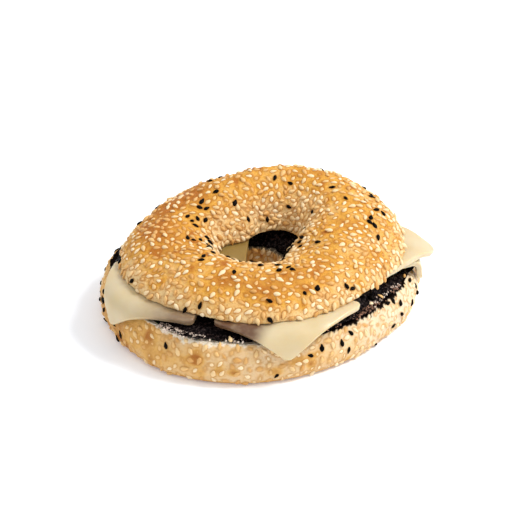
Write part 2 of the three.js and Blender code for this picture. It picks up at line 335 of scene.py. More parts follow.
def activate(piece: Object) -> None:
    """Selects one piece alone and makes it active."""
    deselect_all()
    piece.select_set(True)
    bpy.context.view_layer.objects.active = piece


def edit_all(piece: Object) -> None:
    """Opens a piece in edit mode with all of it selected."""
    activate(piece)
    bpy.ops.object.mode_set(mode="EDIT")
    bpy.ops.mesh.select_all(action="SELECT")


def read_vectors(piece: Object, kind: str) -> Array:
    """Reads one thing that a piece's mesh holds for each of its points.

    Args:
        piece: the piece.
        kind: "co" for the points' places or "normal" for their normals.

    Returns:
        A vector for each point.
    """
    flat = np.empty(len(piece.data.vertices) * 3, np.float32)
    piece.data.vertices.foreach_get(kind, flat)
    return flat.reshape(-1, 3).astype(float)


def read_points(piece: Object) -> Array:
    """The points of a piece's mesh as an array."""
    return read_vectors(piece, "co")


def read_normals(piece: Object) -> Array:
    """The normals at the points of a piece's mesh as an array."""
    return read_vectors(piece, "normal")


def move_points(piece: Object, points: Array) -> None:
    """Moves the points of a piece's mesh."""
    piece.data.vertices.foreach_set("co", points.astype(np.float32).ravel())
    piece.data.update()


def turn_faces_out(piece: Object) -> None:
    """Makes all faces of a closed piece point outwards."""
    edit_all(piece)
    bpy.ops.mesh.normals_make_consistent(inside=False)
    bpy.ops.object.mode_set(mode="OBJECT")


def ring_blank(name: str, around: int, section: int) -> tuple[Object, Array, Array]:
    """Adds a torus to be shaped into a ring. It starts with half the steps, then is subdivided.

    Only the angles of its points are used, so its two radii may be any.

    Args:
        name: the piece's name.
        around: how many steps it has round the ring, an even number up to 512.
        section: how many steps it has round its section, even too.

    Returns:
        The piece, and the angles of its points round the ring and round the section.
    """
    middle = 1.0  # the radius of the line in the middle of the section
    deselect_all()
    bpy.ops.mesh.primitive_torus_add(
        major_segments=around // 2, minor_segments=section // 2, major_radius=middle, minor_radius=0.25
    )
    piece = bpy.context.object
    piece.name = piece.data.name = name
    edit_all(piece)
    bpy.ops.mesh.subdivide(number_cuts=1)
    bpy.ops.object.mode_set(mode="OBJECT")
    points = read_points(piece)
    angle = np.arctan2(points[:, 1], points[:, 0])
    turn = np.arctan2(points[:, 2], np.hypot(points[:, 0], points[:, 1]) - middle)
    # a hair is added so that the points at the outer edge stay at 0 and don't fall to a whole turn
    return piece, angle, np.mod(turn + 1e-6, 2.0 * math.pi)


def weigh(piece: Object, name: str, weights: Array) -> None:
    """Gives a piece a vertex group, with its weights in a few steps.

    Args:
        piece: the piece.
        name: the group's name.
        weights: the weight of each point, from 0 to 1.
    """
    group = piece.vertex_groups.new(name=name)
    steps = np.rint(np.clip(weights, 0.0, 1.0) * WEIGHT_STEPS).astype(int)
    for step in range(1, WEIGHT_STEPS + 1):
        group.add(np.flatnonzero(steps == step).tolist(), step / WEIGHT_STEPS, "REPLACE")


def write_attribute(piece: Object, name: str, values: Array) -> None:
    """Gives a piece a number at each of its points, for its material."""
    attribute = piece.data.attributes.new(name, "FLOAT", "POINT")
    attribute.data.foreach_set("value", values.astype(np.float32))


@dataclass(frozen=True)
class Relief:
    """Uneven lumps pressed into a surface.

    Args:
        grain: the size of a lump, or 0 for an even rise.
        depth: from the lowest to the highest.
        group: the vertex group that limits it, or none.
        octaves: how much finer detail the lumps have.
    """

    grain: float
    depth: float
    group: str = ""
    octaves: int = 1

    def press(self, piece: Object) -> None:
        """Moves the piece's points along their normals by the lumps, with a modifier.

        Args:
            piece: the piece.
        """
        activate(piece)
        displace = piece.modifiers.new("lumps", "DISPLACE")
        displace.mid_level = 0.0
        if self.grain:
            clouds = bpy.data.textures.new(f"{piece.name}_lumps", type="CLOUDS")
            clouds.noise_scale = self.grain * MM
            clouds.noise_depth = self.octaves
            displace.texture = clouds
            displace.texture_coords = "LOCAL"
            displace.mid_level = 0.5
        displace.strength = self.depth * MM
        displace.vertex_group = self.group
        bpy.ops.object.modifier_apply(modifier=displace.name)


def dress(piece: Object, material: Material, slot: str, nodes: tuple[str, ...] = ()) -> Object:
    """Gives a finished piece its material and its place in the frame.

    Args:
        piece: the finished piece.
        material: what it is made of.
        slot: not used.
        nodes: the solids that it stands for.

    Returns:
        The piece.
    """
    activate(piece)
    bpy.ops.object.shade_smooth()
    piece.data.materials.clear()
    piece.data.materials.append(material)
    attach(piece, BODY)
    if nodes:
        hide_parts(*nodes)
    LOG.info("%s: %d points", piece.name, len(piece.data.vertices))
    return piece


# ---------------------------------------------------------------- materials


def linear(hex_colour: str) -> tuple[float, float, float, float]:
    """Turns an sRGB colour such as "#e0a050" into the linear colour that a shader takes."""
    values = [int(hex_colour[start : start + 2], 16) / 255.0 for start in (1, 3, 5)]
    channels = [v / 12.92 if v <= 0.04045 else ((v + 0.055) / 1.055) ** 2.4 for v in values]
    return (*channels, 1.0)


def grey(value: float) -> tuple[float, float, float, float]:
    """A linear grey, for a ramp whose output is used as a number."""
    return (value, value, value, 1.0)


def per_metre(grain: float) -> float:
    """The scale of a noise whose lumps are `grain` millimetres wide, on coordinates in metres."""
    return 1.0 / (grain * MM)


def add_node(tree: Tree, kind: str, settings: dict | None = None, links: dict | None = None) -> Node:
    """Adds a node to a material.

    Args:
        tree: the material's nodes.
        kind: the node's type.
        settings: values for its inputs or properties; "stops" fills a colour ramp.
        links: the outputs that feed its inputs.

    Returns:
        The node.
    """
    node = tree.nodes.new(kind)
    for name, value in (settings or {}).items():
        if name == "stops":
            elements = node.color_ramp.elements
            elements[0].position, elements[1].position = value[0][0], value[-1][0]
            elements[0].color, elements[1].color = value[0][1], value[-1][1]
            for place, colour in value[1:-1]:
                elements.new(place).color = colour
        elif isinstance(name, int) or name in node.inputs:
            node.inputs[name].default_value = value
        else:
            setattr(node, name, value)
    for name, output in (links or {}).items():
        tree.links.new(output, node.inputs[name])
    return node


def blank_material(name: str) -> tuple[Material, Tree]:
    """Makes a material without a node, and returns it with its node tree."""
    material = bpy.data.materials.new(name)
    material.use_nodes = True
    material.node_tree.nodes.clear()
    return material, material.node_tree


def shade(tree: Tree, settings: dict, links: dict) -> None:
    """Ends a material with its Principled shader and its output."""
    shader = add_node(tree, "ShaderNodeBsdfPrincipled", settings, links)
    add_node(tree, "ShaderNodeOutputMaterial", links={"Surface": shader.outputs[0]})


def object_place(tree: Tree) -> Socket:
    """The place of a point on its piece, in metres."""
    return add_node(tree, "ShaderNodeTexCoord").outputs["Object"]


def carried(tree: Tree, name: str) -> Socket:
    """The number that a piece carries at each of its points under a name."""
    return add_node(tree, "ShaderNodeAttribute", {"attribute_name": name}).outputs["Fac"]


def noise(tree: Tree, place: Socket, grain: float, detail: float = 2.0, roughness: float = 0.5) -> Socket:
    """Noise with lumps `grain` millimetres wide."""
    settings = {"Scale": per_metre(grain), "Detail": detail, "Roughness": roughness}
    return add_node(tree, "ShaderNodeTexNoise", settings, {"Vector": place}).outputs["Fac"]


def calculate(tree: Tree, operation: str, first: Socket, settings: dict, links: dict) -> Socket:
    """Reckons with numbers: the first, and those that are set or linked by their place after it."""
    settings, links = {"operation": operation, **settings}, {0: first, **links}
    return add_node(tree, "ShaderNodeMath", settings, links).outputs[0]


def stretch(tree: Tree, value: Socket, **ends: float) -> Socket:
    """Stretches a number from one range to another, each from 0 to 1 unless its ends are given."""
    settings = {name.replace("_", " ").title(): end for name, end in ends.items()}
    return add_node(tree, "ShaderNodeMapRange", settings, {"Value": value}).outputs[0]


def ramp(tree: Tree, value: Socket, *stops: tuple[float, tuple[float, ...]]) -> Socket:
    """Turns a number into a colour between stops, each a number with its linear colour."""
    return add_node(tree, "ShaderNodeValToRGB", {"stops": stops}, {"Fac": value}).outputs["Color"]


def lay_over(tree: Tree, under: Socket, share: Socket, over: str | Socket) -> Socket:
    """Lays a colour, or another node's colours, over one by a share."""
    settings = {"Color2": linear(over)} if isinstance(over, str) else {}
    links = {"Fac": share, "Color1": under} | ({} if settings else {"Color2": over})
    return add_node(tree, "ShaderNodeMixRGB", settings, links).outputs["Color"]


def emboss(tree: Tree, height: Socket, strength: float, depth: float) -> Socket:
    """Shades a surface as if it had lumps up to `depth` millimetres high."""
    settings = {"Strength": strength, "Distance": depth * MM}
    return add_node(tree, "ShaderNodeBump", settings, {"Height": height}).outputs["Normal"]


@dataclass(frozen=True)
class BreadCrust:
    """Wheat dough, boiled in molasses water and baked: satin skin, golden where the oven caught it.

    The attributes bake, crumb, halo and soaked of the piece say how brown it is,
    where it is cut open, where painted shade with some browning darkens the crust round a seed, and where
    olive paste darkens it, partly stained by paste and partly painted shade of the gap under the upper half.
    """

    name: str
    pale: str
    golden: str
    toasted: str
    halo: str
    mottle: float  # how uneven its colour and its skin are
    pore_size: float = 0.9
    crumb: str = "#efe0c8"
    # painted shade in the crumb's pores
    pore_shade: str = "#dcbb90"
    # near black: stained by paste, and painted shade of the gap under the upper half
    soaked: str = "#120906"

    def skin(self, tree: Tree, place: Socket, freckles: Socket) -> Socket:
        """The colours of the baked skin.

        Args:
            tree: the material's nodes.
            place: the place of a point.
            freckles: the noise that the freckles follow.

        Returns:
            The colours.
        """
        # broad browning, 14 mm across, with blotches down to 1 mm in it
        broad = noise(tree, place, grain=14.0, detail=6.0, roughness=0.74)
        # the noise lies round 0.5, where it leaves the browning as it is
        uneven = calculate(tree, "MULTIPLY_ADD", broad, {1: 1.5 * self.mottle, 2: -0.75 * self.mottle}, {})
        browning = calculate(tree, "ADD", carried(tree, "bake"), {"use_clamp": True}, {1: uneven})
        baked = ramp(
            tree, browning,
            (0.05, linear(self.pale)), (0.55, linear(self.golden)), (0.95, linear(self.toasted)),
        )
        # freckles that make the skin look baked and not painted
        freckled = ramp(tree, freckles, (0.52, grey(0.0)), (0.72, grey(0.6 * self.mottle)))
        browned = lay_over(tree, baked, freckled, self.toasted)
        # painted shade round each seed, with some real browning of the crust there
        return lay_over(tree, browned, carried(tree, "halo"), self.halo)

    def open_crumb(self, tree: Tree, place: Socket) -> Socket:
        """The colours of the crumb where the ring is cut, with painted shade that makes its pores a little
        darker.
        """
        pores = add_node(
            tree, "ShaderNodeTexVoronoi", {"Scale": per_metre(self.pore_size), "Randomness": 1.0},
            {"Vector": place},
        )
        return ramp(tree, pores.outputs["Distance"], (0.1, linear(self.pore_shade)), (0.4, linear(self.crumb)))

    def material(self) -> Material:
        """Builds the crust's shader."""
        material, tree = blank_material(self.name)
        place = object_place(tree)
        fine = noise(tree, place, grain=1.3, detail=4.0, roughness=0.7)
        grit = noise(tree, place, grain=0.9, detail=4.0, roughness=0.65)
        bread = lay_over(
            tree, self.skin(tree, place, fine), carried(tree, "crumb"), self.open_crumb(tree, place)
        )
        # paste stains and painted shade of the gap under the upper half darken the bread and dull its
        # highlight
        soaked = carried(tree, "soaked")
        shade(
            tree,
            {"IOR": 1.45, "Subsurface Weight": 0.08, "Subsurface Radius": (0.004, 0.002, 0.001),
             "Subsurface Scale": 0.3},
            {"Base Color": lay_over(tree, bread, soaked, self.soaked),
             "Roughness": stretch(tree, fine, to_min=0.42, to_max=0.68),
             "Specular IOR Level": stretch(tree, soaked, to_min=0.25, to_max=0.01),
             "Normal": emboss(tree, grit, strength=1.0, depth=0.6 * self.mottle)},
        )
        return material


@dataclass(frozen=True)
class Speck:
    """Sesame seeds, smooth and a little oily with small soft highlights, or dull bread crumbs.

    The attribute tone of the piece makes each one lighter or darker than the next.
    """

    name: str
    dark: str
    light: str
    roughness: float
    gloss: float = 0.4

    def material(self) -> Material:
        """Builds the shader of the seeds or the crumbs."""
        material, tree = blank_material(self.name)
        colour = ramp(tree, carried(tree, "tone"), (0.0, linear(self.dark)), (1.0, linear(self.light)))
        shade(
            tree, {"IOR": 1.47, "Roughness": self.roughness, "Specular IOR Level": self.gloss},
            {"Base Color": colour},
        )
        return material


@dataclass(frozen=True)
class YellowCheese:
    """Young semi-hard cheese cut in slices: smooth, waxy and a little see-through at its edges.

    The attribute stain of the piece says where it is darkened: stained by paste, and painted shade under the
    upper half.
    """

    name: str
    body: str
    warm: str
    stain: str

    def material(self) -> Material:
        """Builds the cheese's shader."""
        material, tree = blank_material(self.name)
        place = object_place(tree)
        cloud = noise(tree, place, grain=11.0)
        streak = noise(tree, place, grain=4.0)
        tint = ramp(tree, cloud, (0.35, linear(self.body)), (0.7, linear(self.warm)))
        # the darkening, stained and painted shade alike, is thinner in streaks
        patchy = stretch(tree, streak, from_min=0.35, from_max=0.6, to_min=0.8)
        smear_and_shade = calculate(tree, "MULTIPLY", carried(tree, "stain"), {}, {1: patchy})
        shade(
            tree,
            {"IOR": 1.45, "Roughness": 0.3, "Subsurface Weight": 0.45,
             "Subsurface Radius": (0.005, 0.0035, 0.0018), "Subsurface Scale": 0.6},
            {"Base Color": lay_over(tree, tint, smear_and_shade, self.stain),
             "Normal": emboss(tree, streak, strength=0.12, depth=0.1)},
        )
        return material


@dataclass(frozen=True)
class OlivePaste:
    """Black olives ground with oil: near black with a plum tint, wet glints on a coarse surface."""

    name: str
    deep: str
    flesh: str

    def material(self) -> Material:
        """Builds the paste's shader."""
        material, tree = blank_material(self.name)
        bits = noise(tree, object_place(tree), grain=1.2, detail=4.0, roughness=0.75)
        # oil stands only on the raised bits
        oil = stretch(tree, bits, from_min=0.5, from_max=0.62, to_min=0.02, to_max=0.35)
        shade(
            tree, {"IOR": 1.46, "Roughness": 0.4},
            {"Base Color": ramp(tree, bits, (0.52, linear(self.deep)), (0.66, linear(self.flesh))),
             "Specular IOR Level": oil, "Normal": emboss(tree, bits, strength=1.0, depth=0.6)},
        )
        return material


@dataclass(frozen=True)
class StudioPaper:
    """Matt white paper over a light table, which shows only a faint soft shadow."""

    name: str
    white: str
    glow: float = 0.18

    def material(self) -> Material:
        """Builds the paper's shader."""
        material, tree = blank_material(self.name)
        fibre = noise(tree, object_place(tree), grain=2.0)
        shade(
            tree,
            {"Base Color": linear(self.white), "Roughness": 0.9, "Emission Color": linear(self.white),
             "Emission Strength": self.glow},
            {"Normal": emboss(tree, fibre, strength=0.02, depth=0.05)},
        )
        return material


# ---------------------------------------------------------------- sesame


class SeedKind(Enum):
    """The kinds of sesame on the crust and in the paste."""

    IVORY = "ivory"
    TOASTED = "toasted"
    BLACK = "black"


@dataclass(frozen=True)
class Grain:
    """A seed or a crumb to be copied many times: its points, in millimetres, and its triangles."""

    points: Array
    triangles: Array

    @classmethod
    def take(cls, piece: Object) -> "Grain":
        """Reads a modelled piece into a grain and removes the piece.

        Args:
            piece: the piece.

        Returns:
            The grain.
        """
        edit_all(piece)
        bpy.ops.mesh.quads_convert_to_tris()
        bpy.ops.mesh.normals_make_consistent(inside=False)
        bpy.ops.object.mode_set(mode="OBJECT")
        triangles = np.array([tuple(face.vertices) for face in piece.data.polygons])
        grain = cls(read_points(piece), triangles)
        bpy.data.meshes.remove(piece.data)
        return grain


@dataclass(frozen=True)
class SesameSeed:
    """One sesame seed: a flat teardrop, blunt at one end."""

    length: float = 3.0
    width: float = 1.8
    thickness: float = 1.2
    tip_from: float = 0.1  # where the tip starts, as a share of the length from the middle
    tip_pinch: float = 0.72
    tip_reach: float = 0.16

    def model(self) -> Grain:
        """Models the seed from a sphere whose tip is drawn out, its length along X."""
        deselect_all()
        bpy.ops.mesh.primitive_uv_sphere_add(
            segments=8, ring_count=6, radius=0.5, rotation=(0.0, math.pi / 2.0, 0.0)
        )
        piece = bpy.context.object
        bpy.ops.object.transform_apply(location=False, rotation=True, scale=False)
        bpy.ops.object.mode_set(mode="EDIT")
        bpy.ops.mesh.select_all(action="DESELECT")
        bpy.ops.object.mode_set(mode="OBJECT")
        for vertex in piece.data.vertices:
            vertex.select = vertex.co.x > self.tip_from
        bpy.ops.object.mode_set(mode="EDIT")
        bpy.ops.transform.resize(
            value=(1.0, self.tip_pinch, self.tip_pinch), center_override=(0.0, 0.0, 0.0)
        )
        bpy.ops.transform.resize(
            value=(1.0 + self.tip_reach, 1.0, 1.0), center_override=(self.tip_from, 0.0, 0.0)
        )
        bpy.ops.mesh.select_all(action="SELECT")
        bpy.ops.transform.resize(
            value=(self.length / (1.0 + self.tip_reach / 2.0), self.width, self.thickness),
            center_override=(0.0, 0.0, 0.0),
        )
        bpy.ops.object.mode_set(mode="OBJECT")
        return Grain.take(piece)


def joined_copies(
    name: str, grain: Grain, places: Array, axes: Array, sizes: Array, tones: Array
) -> Object:
    """Joins many turned copies of a grain into one piece.

    Args:
        name: the piece's name.
        grain: what is copied, in millimetres.
        places: where each copy lies, in metres.
        axes: each copy's three axes, as rows.
        sizes: each copy's scale along its axes.
        tones: each copy's tone for its material.

    Returns:
        The piece.
    """
    scaled = grain.points[None] * sizes[:, None, :] * MM
    points = np.einsum("nvk,nkd->nvd", scaled, axes) + places[:, None, :]
    offsets = np.arange(len(places))[:, None, None] * len(grain.points)
    triangles = grain.triangles[None] + offsets
    mesh = bpy.data.meshes.new(name)
    mesh.from_pydata(points.reshape(-1, 3).tolist(), [], triangles.reshape(-1, 3).tolist())
    piece = bpy.data.objects.new(name, mesh)
    bpy.context.scene.collection.objects.link(piece)
    write_attribute(piece, "tone", np.repeat(tones, len(grain.points)))
    return piece


def lying_axes(normals: Array, tilt: float, draw: np.random.Generator) -> Array:
    """The axes of seeds that lie flat on a surface, each turned at random.

    Args:
        normals: the surface's normal under each seed.
        tilt: how far a seed leans at random.
        draw: the source of random numbers.

    Returns:
        Each seed's axes as rows: its length, its width and its thickness.
    """
    normal = normals + draw.normal(0.0, tilt, normals.shape)
    normal /= np.linalg.norm(normal, axis=1, keepdims=True)
    along = np.cross(normal, draw.normal(0.0, 1.0, normals.shape))
    along /= np.linalg.norm(along, axis=1, keepdims=True)
    return np.stack([along, np.cross(normal, along), normal], axis=1)


def listed_near(cells: dict[Cell, list[int]], home: Array) -> list[int]:
    """What is listed in one cell of a grid and in the 26 round it."""
    i, j, k = home
    return [other for di, dj, dk in CELLS_AROUND for other in cells.get((i + di, j + dj, k + dk), ())]


def spaced(points: Array, spacing: Array, draw: np.random.Generator) -> Array:
    """Picks points at random that keep their distance from each other.

    Args:
        points: the candidates, in metres.
        spacing: the distance that each keeps, in metres.
        draw: the source of random numbers.

    Returns:
        The indices of the points picked.
    """
    cells = np.floor(points / float(spacing.max())).astype(int)
    taken: dict[Cell, list[int]] = {}
    picked = []
    for index in draw.permutation(len(points)):
        home = cells[index]
        near = listed_near(taken, home)
        if near and np.min(np.sum((points[near] - points[index]) ** 2, axis=1)) < spacing[index] ** 2:
            continue
        taken.setdefault(tuple(home), []).append(index)
        picked.append(index)
    return np.array(picked)


def neighbours(points: Array, places: Array, reach: float) -> Iterator[tuple[Array, list[int]]]:
    """Goes through groups of points, each with the places that may lie within reach of it.

    Args:
        points: the points, which are grouped by the cells of a grid.
        places: the places.
        reach: the size of a cell.

    Yields:
        The indices of a group's points and of the places near it.
    """
    cells: dict[Cell, list[int]] = {}
    for index, home in enumerate(np.floor(places / reach).astype(int)):
        cells.setdefault(tuple(home), []).append(index)
    homes = np.floor(points / reach).astype(int)
    order = np.lexsort(homes.T)
    sorted_homes = homes[order]
    changes = np.diff(sorted_homes, axis=0, prepend=sorted_homes[:1] - 1)
    starts = np.flatnonzero(np.any(changes != 0, axis=1))
    for start, stop in zip(starts, [*starts[1:], len(order)]):
        group = order[start:stop]
        near = listed_near(cells, homes[group[0]])
        if near:
            yield group, near


def out_of_reach(points: Array, places: Array, reach: float) -> Array:
    """Whether each point is farther than the reach from all of some places.

    Args:
        points: the points.
        places: the places to keep clear of.
        reach: the least distance.

    Returns:
        A truth for each point.
    """
    clear = np.ones(len(points), bool)
    for group, near in neighbours(points, places, reach):
        gaps = np.linalg.norm(points[group][:, None] - places[near][None], axis=2)
        clear[group] = gaps.min(axis=1) > reach
    return clear


@dataclass(frozen=True)
class Sowing:
    """How the sesame lies at each point of a half's crust.

    Args:
        spacing: the distance that a seed keeps from the next.
        allowed: whether a seed may lie there.
        black: how likely a seed is black.
        toasted: how likely one of the others is toasted.
        proud: how much less than elsewhere a seed is sunk, from 0 to 1.
    """

    spacing: Array
    allowed: Array
    black: Array
    toasted: Array
    proud: Array


@dataclass
class SesameCoat:
    """The sesame on one half's crust.

    Args:
        half: the half's name in the pieces' names.
        slot: a label for the crust, handed on to dress.
        seed: starts the random draws.
        sunk: how deep a seed sits, as a share of its thickness, least and most.
        tilt: how far a seed leans at random.
        size_spread: how much the seeds differ in size.
        shape_spread: how much they differ in each measure besides.
        black_sunk: how deep the black seeds sit, as a share of the others' depth.
        slide: how far a seed lies from its point of the crust along its length, at most.
        outline_reach: how far from a seed's middle its outline may be.
    """

    half: str
    slot: str
    seed: int
    sunk: tuple[float, float]
    tilt: float = 0.13
    size_spread: float = 0.09
    shape_spread: float = 0.06
    black_sunk: float = 0.55
    slide: float = 0.35
    outline_reach: float = 3.0
    shape: SesameSeed = field(default_factory=SesameSeed)

    def sow(self, bread: Object, sowing: Sowing, coats: dict[SeedKind, Material]) -> Array:
        """Lays the seeds on the crust, one piece for each kind.

        Args:
            bread: the half that carries them.
            sowing: how they lie at each point of it.
            coats: the material of each kind.

        Returns:
            How far each point of the crust is from the nearest seed, with 1 at a seed's outline.
        """
        draw = np.random.default_rng(self.seed)
        points, normals = read_points(bread), read_normals(bread)
        sites = np.flatnonzero(sowing.allowed)
        picked = sites[spaced(points[sites], sowing.spacing[sites] * MM, draw)]
        count = len(picked)
        axes = lying_axes(normals[picked], self.tilt, draw)
        sizes = draw.normal(1.0, self.size_spread, (count, 1))
        sizes = sizes * draw.normal(1.0, self.shape_spread, (count, 3))
        chance = draw.random((count, 2))
        kinds = np.where(
            chance[:, 1] < sowing.toasted[picked], SeedKind.TOASTED.value, SeedKind.IVORY.value
        )
        kinds = np.where(chance[:, 0] < sowing.black[picked], SeedKind.BLACK.value, kinds)
        sunk = draw.uniform(*self.sunk, count) * (1.0 - sowing.proud[picked])
        sunk = np.where(kinds == SeedKind.BLACK.value, sunk * self.black_sunk, sunk)
        lift = (0.5 - sunk) * self.shape.thickness * MM
        slide = draw.uniform(-self.slide, self.slide, count) * MM
        places = points[picked] + normals[picked] * lift[:, None] + axes[:, 0] * slide[:, None]
        tones = draw.random(count)
        grain = self.shape.model()
        for kind in SeedKind:
            chosen = kinds == kind.value
            piece = joined_copies(
                f"sesame_{kind.value}_{self.half}", grain, places[chosen], axes[chosen],
                sizes[chosen], tones[chosen],
            )
            dress(piece, coats[kind], self.slot)
        LOG.info("%d seeds on the %s half", count, self.half)
        return self.gaps(points, places, axes, sizes)

    def gaps(self, points: Array, places: Array, axes: Array, sizes: Array) -> Array:
        """How far each point of the crust is from the nearest seed.

        Args:
            points: the points.
            places: the seeds' middles.
            axes: the seeds' axes, as rows.
            sizes: the seeds' scales along their axes.

        Returns:
            The distance, as a share of the way from the seed's middle to its outline. A seed counts
            as thick as it is wide, so that the crust round a sunk one is near it too.
        """
        halves = sizes * np.array([self.shape.length, self.shape.width, self.shape.width]) * MM / 2.0
        gaps = np.full(len(points), np.inf)
        for group, near in neighbours(points, places, self.outline_reach * MM):
            apart = points[group][:, None] - places[near][None]
            local = np.einsum("psk,sjk->psj", apart, axes[near]) / halves[near][None]
            gaps[group] = np.linalg.norm(local, axis=2).min(axis=1)
        return gaps


def blisters(count: int, deep: tuple[float, float], seed: int) -> tuple[Swell, ...]:
    """Small toasted spots all round a half, where the crust has blistered in the oven.

    Args:
        count: how many there are.
        deep: their least and greatest half width across the ring.
        seed: starts the random draws.

    Returns:
        The spots.
    """
    draw = np.random.default_rng(seed)
    return tuple(
        Swell(
            toward=draw.uniform(0.0, 360.0), across=draw.uniform(-0.8, 0.95),
            rise=draw.uniform(0.25, 0.7), wide=draw.uniform(0.9, 2.3), deep=draw.uniform(*deep),
        )
        for _ in range(count)
    )


# ---------------------------------------------------------------- the two halves


@dataclass
class UpperHalf:
    """The upper half of the bread with its sesame.

    Args:
        around: how many steps its mesh has round the ring.
        section: how many steps it has round the section.
        crown_steps: the share of the section's steps that the crown gets.
        reliefs: the lumps of its crust, and of its open crumb.
        seed_rise: how the crust swells round its seeds.
        spacing: the distance between seeds on the crown.
        spacing_by_hole: how much closer they are towards the hole.
        spacing_at_right: how much closer they are at the right.
        bare: where they are farther apart.
        seeded_turn: between which angles round the section they lie, in degrees.
        proud: how much less they are sunk at the two edges.
        black: the share of black ones outside their patches.
        blackest: the patches with more black ones.
        toasted: the share of toasted ones on the palest crust.
        toasted_by_bake: how much that grows with the browning.
        toasted_at_left: how much it grows towards the left, and shrinks towards the right.
        bake: how brown the crust is at its edges.
        bake_on_crown: how much browner the crown is.
        bake_by_hole: how much paler it is down towards the hole.
        browned: the patches that are browner or paler.
        blistered: the small toasted spots.
        halo: how strongly the crust is darkened round a seed, painted shade with some browning.
        seed_shade_and_browning_reach: from where to where that fades, with a seed's outline at 1.
    """

    form: UpperForm = field(default_factory=UpperForm)
    around: int = 490
    section: int = 200
    crown_steps: float = 0.75
    reliefs: tuple[Relief, ...] = (
        Relief(11.0, 1.6, "skin"), Relief(4.5, 0.8, "skin"), Relief(1.8, 0.55, "skin", 2),
        Relief(1.5, 1.0, "cut", 3),
    )
    seed_rise: Relief = Relief(0.0, 0.16, "seeded")
    spacing: float = 2.68
    spacing_by_hole: float = 0.45
    spacing_at_right: float = 0.2
    bare: tuple[Swell, ...] = (
        Swell(6, -0.15, 1.1, 13, 0.2),
        Swell(-38, 0.05, 0.8, 10, 0.25),
        Swell(-120, 0.35, 0.5, 10, 0.2),
        Swell(96, 0.25, 0.5, 16, 0.25),
    )
    seeded_turn: tuple[float, float] = (4.0, 176.0)
    proud: float = 0.6
    black: float = 0.055
    blackest: tuple[Swell, ...] = (
        Swell(160, -0.35, 0.55, 9, 0.16),
        Swell(181, -0.5, 0.55, 9, 0.16),
        Swell(206, -0.65, 0.45, 10, 0.16),
        Swell(-2, 0.62, 0.4, 6, 0.13),
        Swell(-15, -0.75, 0.22, 14, 0.25),
        Swell(-95, -0.8, 0.35, 20, 0.2),
        Swell(60, 0.9, 0.4, 12, 0.25),
    )
    toasted: float = 0.2
    toasted_by_bake: float = 0.4
    toasted_at_left: float = 0.1
    bake: float = 0.14
    bake_on_crown: float = 0.24
    bake_by_hole: float = 0.2
    browned: tuple[Swell, ...] = (
        Swell(160, 0.35, 0.45, 26, 0.45),
        Swell(200, 0.1, 0.36, 18, 0.35),
        Swell(100, 0.3, 0.3, 30, 0.5),
        Swell(20, 0.1, 0.12, 34, 0.35),
        Swell(-85, 0.15, 0.35, 30, 0.4),
        Swell(-25, 0.0, 0.15, 20, 0.3),
        Swell(225, 0.9, -0.25, 22, 0.4),
        Swell(-112, 0.5, 0.24, 20, 0.35),
    )
    blistered: tuple[Swell, ...] = blisters(60, (0.03, 0.09), 3)
    halo: float = 0.7
    seed_shade_and_browning_reach: tuple[float, float] = (1.45, 1.05)

    def browning(self, angle: Array, turn: Array, across: Array) -> Array:
        """How brown each point of the crust is.

        Args:
            angle: round the ring.
            turn: round the section.
            across: from -1 at the hole to +1 at the outer side.

        Returns:
            The browning, about 0 where it is palest and 1 where it is toasted.
        """
        crown = smooth(0.15, 0.75, np.sin(np.clip(turn, 0.0, math.pi)))
        bake = self.bake + self.bake_on_crown * crown + swells_at(self.browned, angle, across)
        bake -= self.bake_by_hole * smooth(-0.45, -0.95, across)
        return bake + swells_at(self.blistered, angle, across)

    def sowing(self, angle: Array, turn: Array, across: Array, bake: Array) -> Sowing:
        """How the seeds lie at each point of the crust.

        Args:
            angle: round the ring.
            turn: round the section.
            across: from -1 at the hole to +1 at the outer side.
            bake: how brown the crust is.

        Returns:
            What the sesame's coat is sown by.
        """
        near_hole = smooth(-0.25, -0.75, across)
        at_right = np.clip(np.cos(angle), 0.0, 1.0)
        spacing = self.spacing - self.spacing_by_hole * near_hole - self.spacing_at_right * at_right
        first, last = (math.radians(degrees) for degrees in self.seeded_turn)
        return Sowing(
            spacing=spacing + swells_at(self.bare, angle, across),
            allowed=(turn > first) & (turn < last),
            black=self.black + swells_at(self.blackest, angle, across),
            toasted=self.toasted + self.toasted_by_bake * bake - self.toasted_at_left * np.cos(angle),
            proud=self.proud * smooth(0.9, 0.99, np.abs(across)),
        )

    def build(self, crust: Material, coats: dict[SeedKind, Material]) -> None:
        """Models the half and lays its seeds.

        Args:
            crust: the bread's material.
            coats: the material of each kind of seed.
        """
        bread, angle, step = ring_blank("upper_bread", self.around, self.section)
        crown_end = 2.0 * math.pi * self.crown_steps
        past = np.maximum(step - crown_end, 0.0) / (1.0 - self.crown_steps)
        turn = np.minimum(step, crown_end) / self.crown_steps / 2.0 + past / 2.0
        points, across = self.form.point(angle, turn)
        move_points(bread, to_frame(points))
        turn_faces_out(bread)
        below = turn > math.pi + 1e-5  # a hair, which leaves the cut's edges to the crown
        from_edge = 1.0 - np.abs(across)
        weigh(bread, "skin", np.where(below, 0.0, 1.0))
        weigh(bread, "cut", np.where(below, smooth(0.0, 0.06, from_edge), 0.0))
        for relief in self.reliefs:
            relief.press(bread)
        bake = self.browning(angle, turn, across)
        coat = SesameCoat("upper", "crust_top", seed=7, sunk=(0.18, 0.74))
        gaps = coat.sow(bread, self.sowing(angle, turn, across, bake), coats)
        weigh(bread, "seeded", smooth(*SWOLLEN, gaps) * ~below)
        self.seed_rise.press(bread)
        write_attribute(bread, "bake", bake)
        write_attribute(bread, "crumb", np.where(below, 1.0, 0.0))
        # painted shade round the seeds, with some browning
        write_attribute(bread, "halo", self.halo * smooth(*self.seed_shade_and_browning_reach, gaps) * ~below)
        dress(bread, crust, "crust_top", ("top_bun",))


@dataclass(frozen=True)
class Ripple:
    """One wave of a ragged edge: how many there are in a turn, how high and how far shifted."""

    count: float
    height: float
    shift: float = 0.0


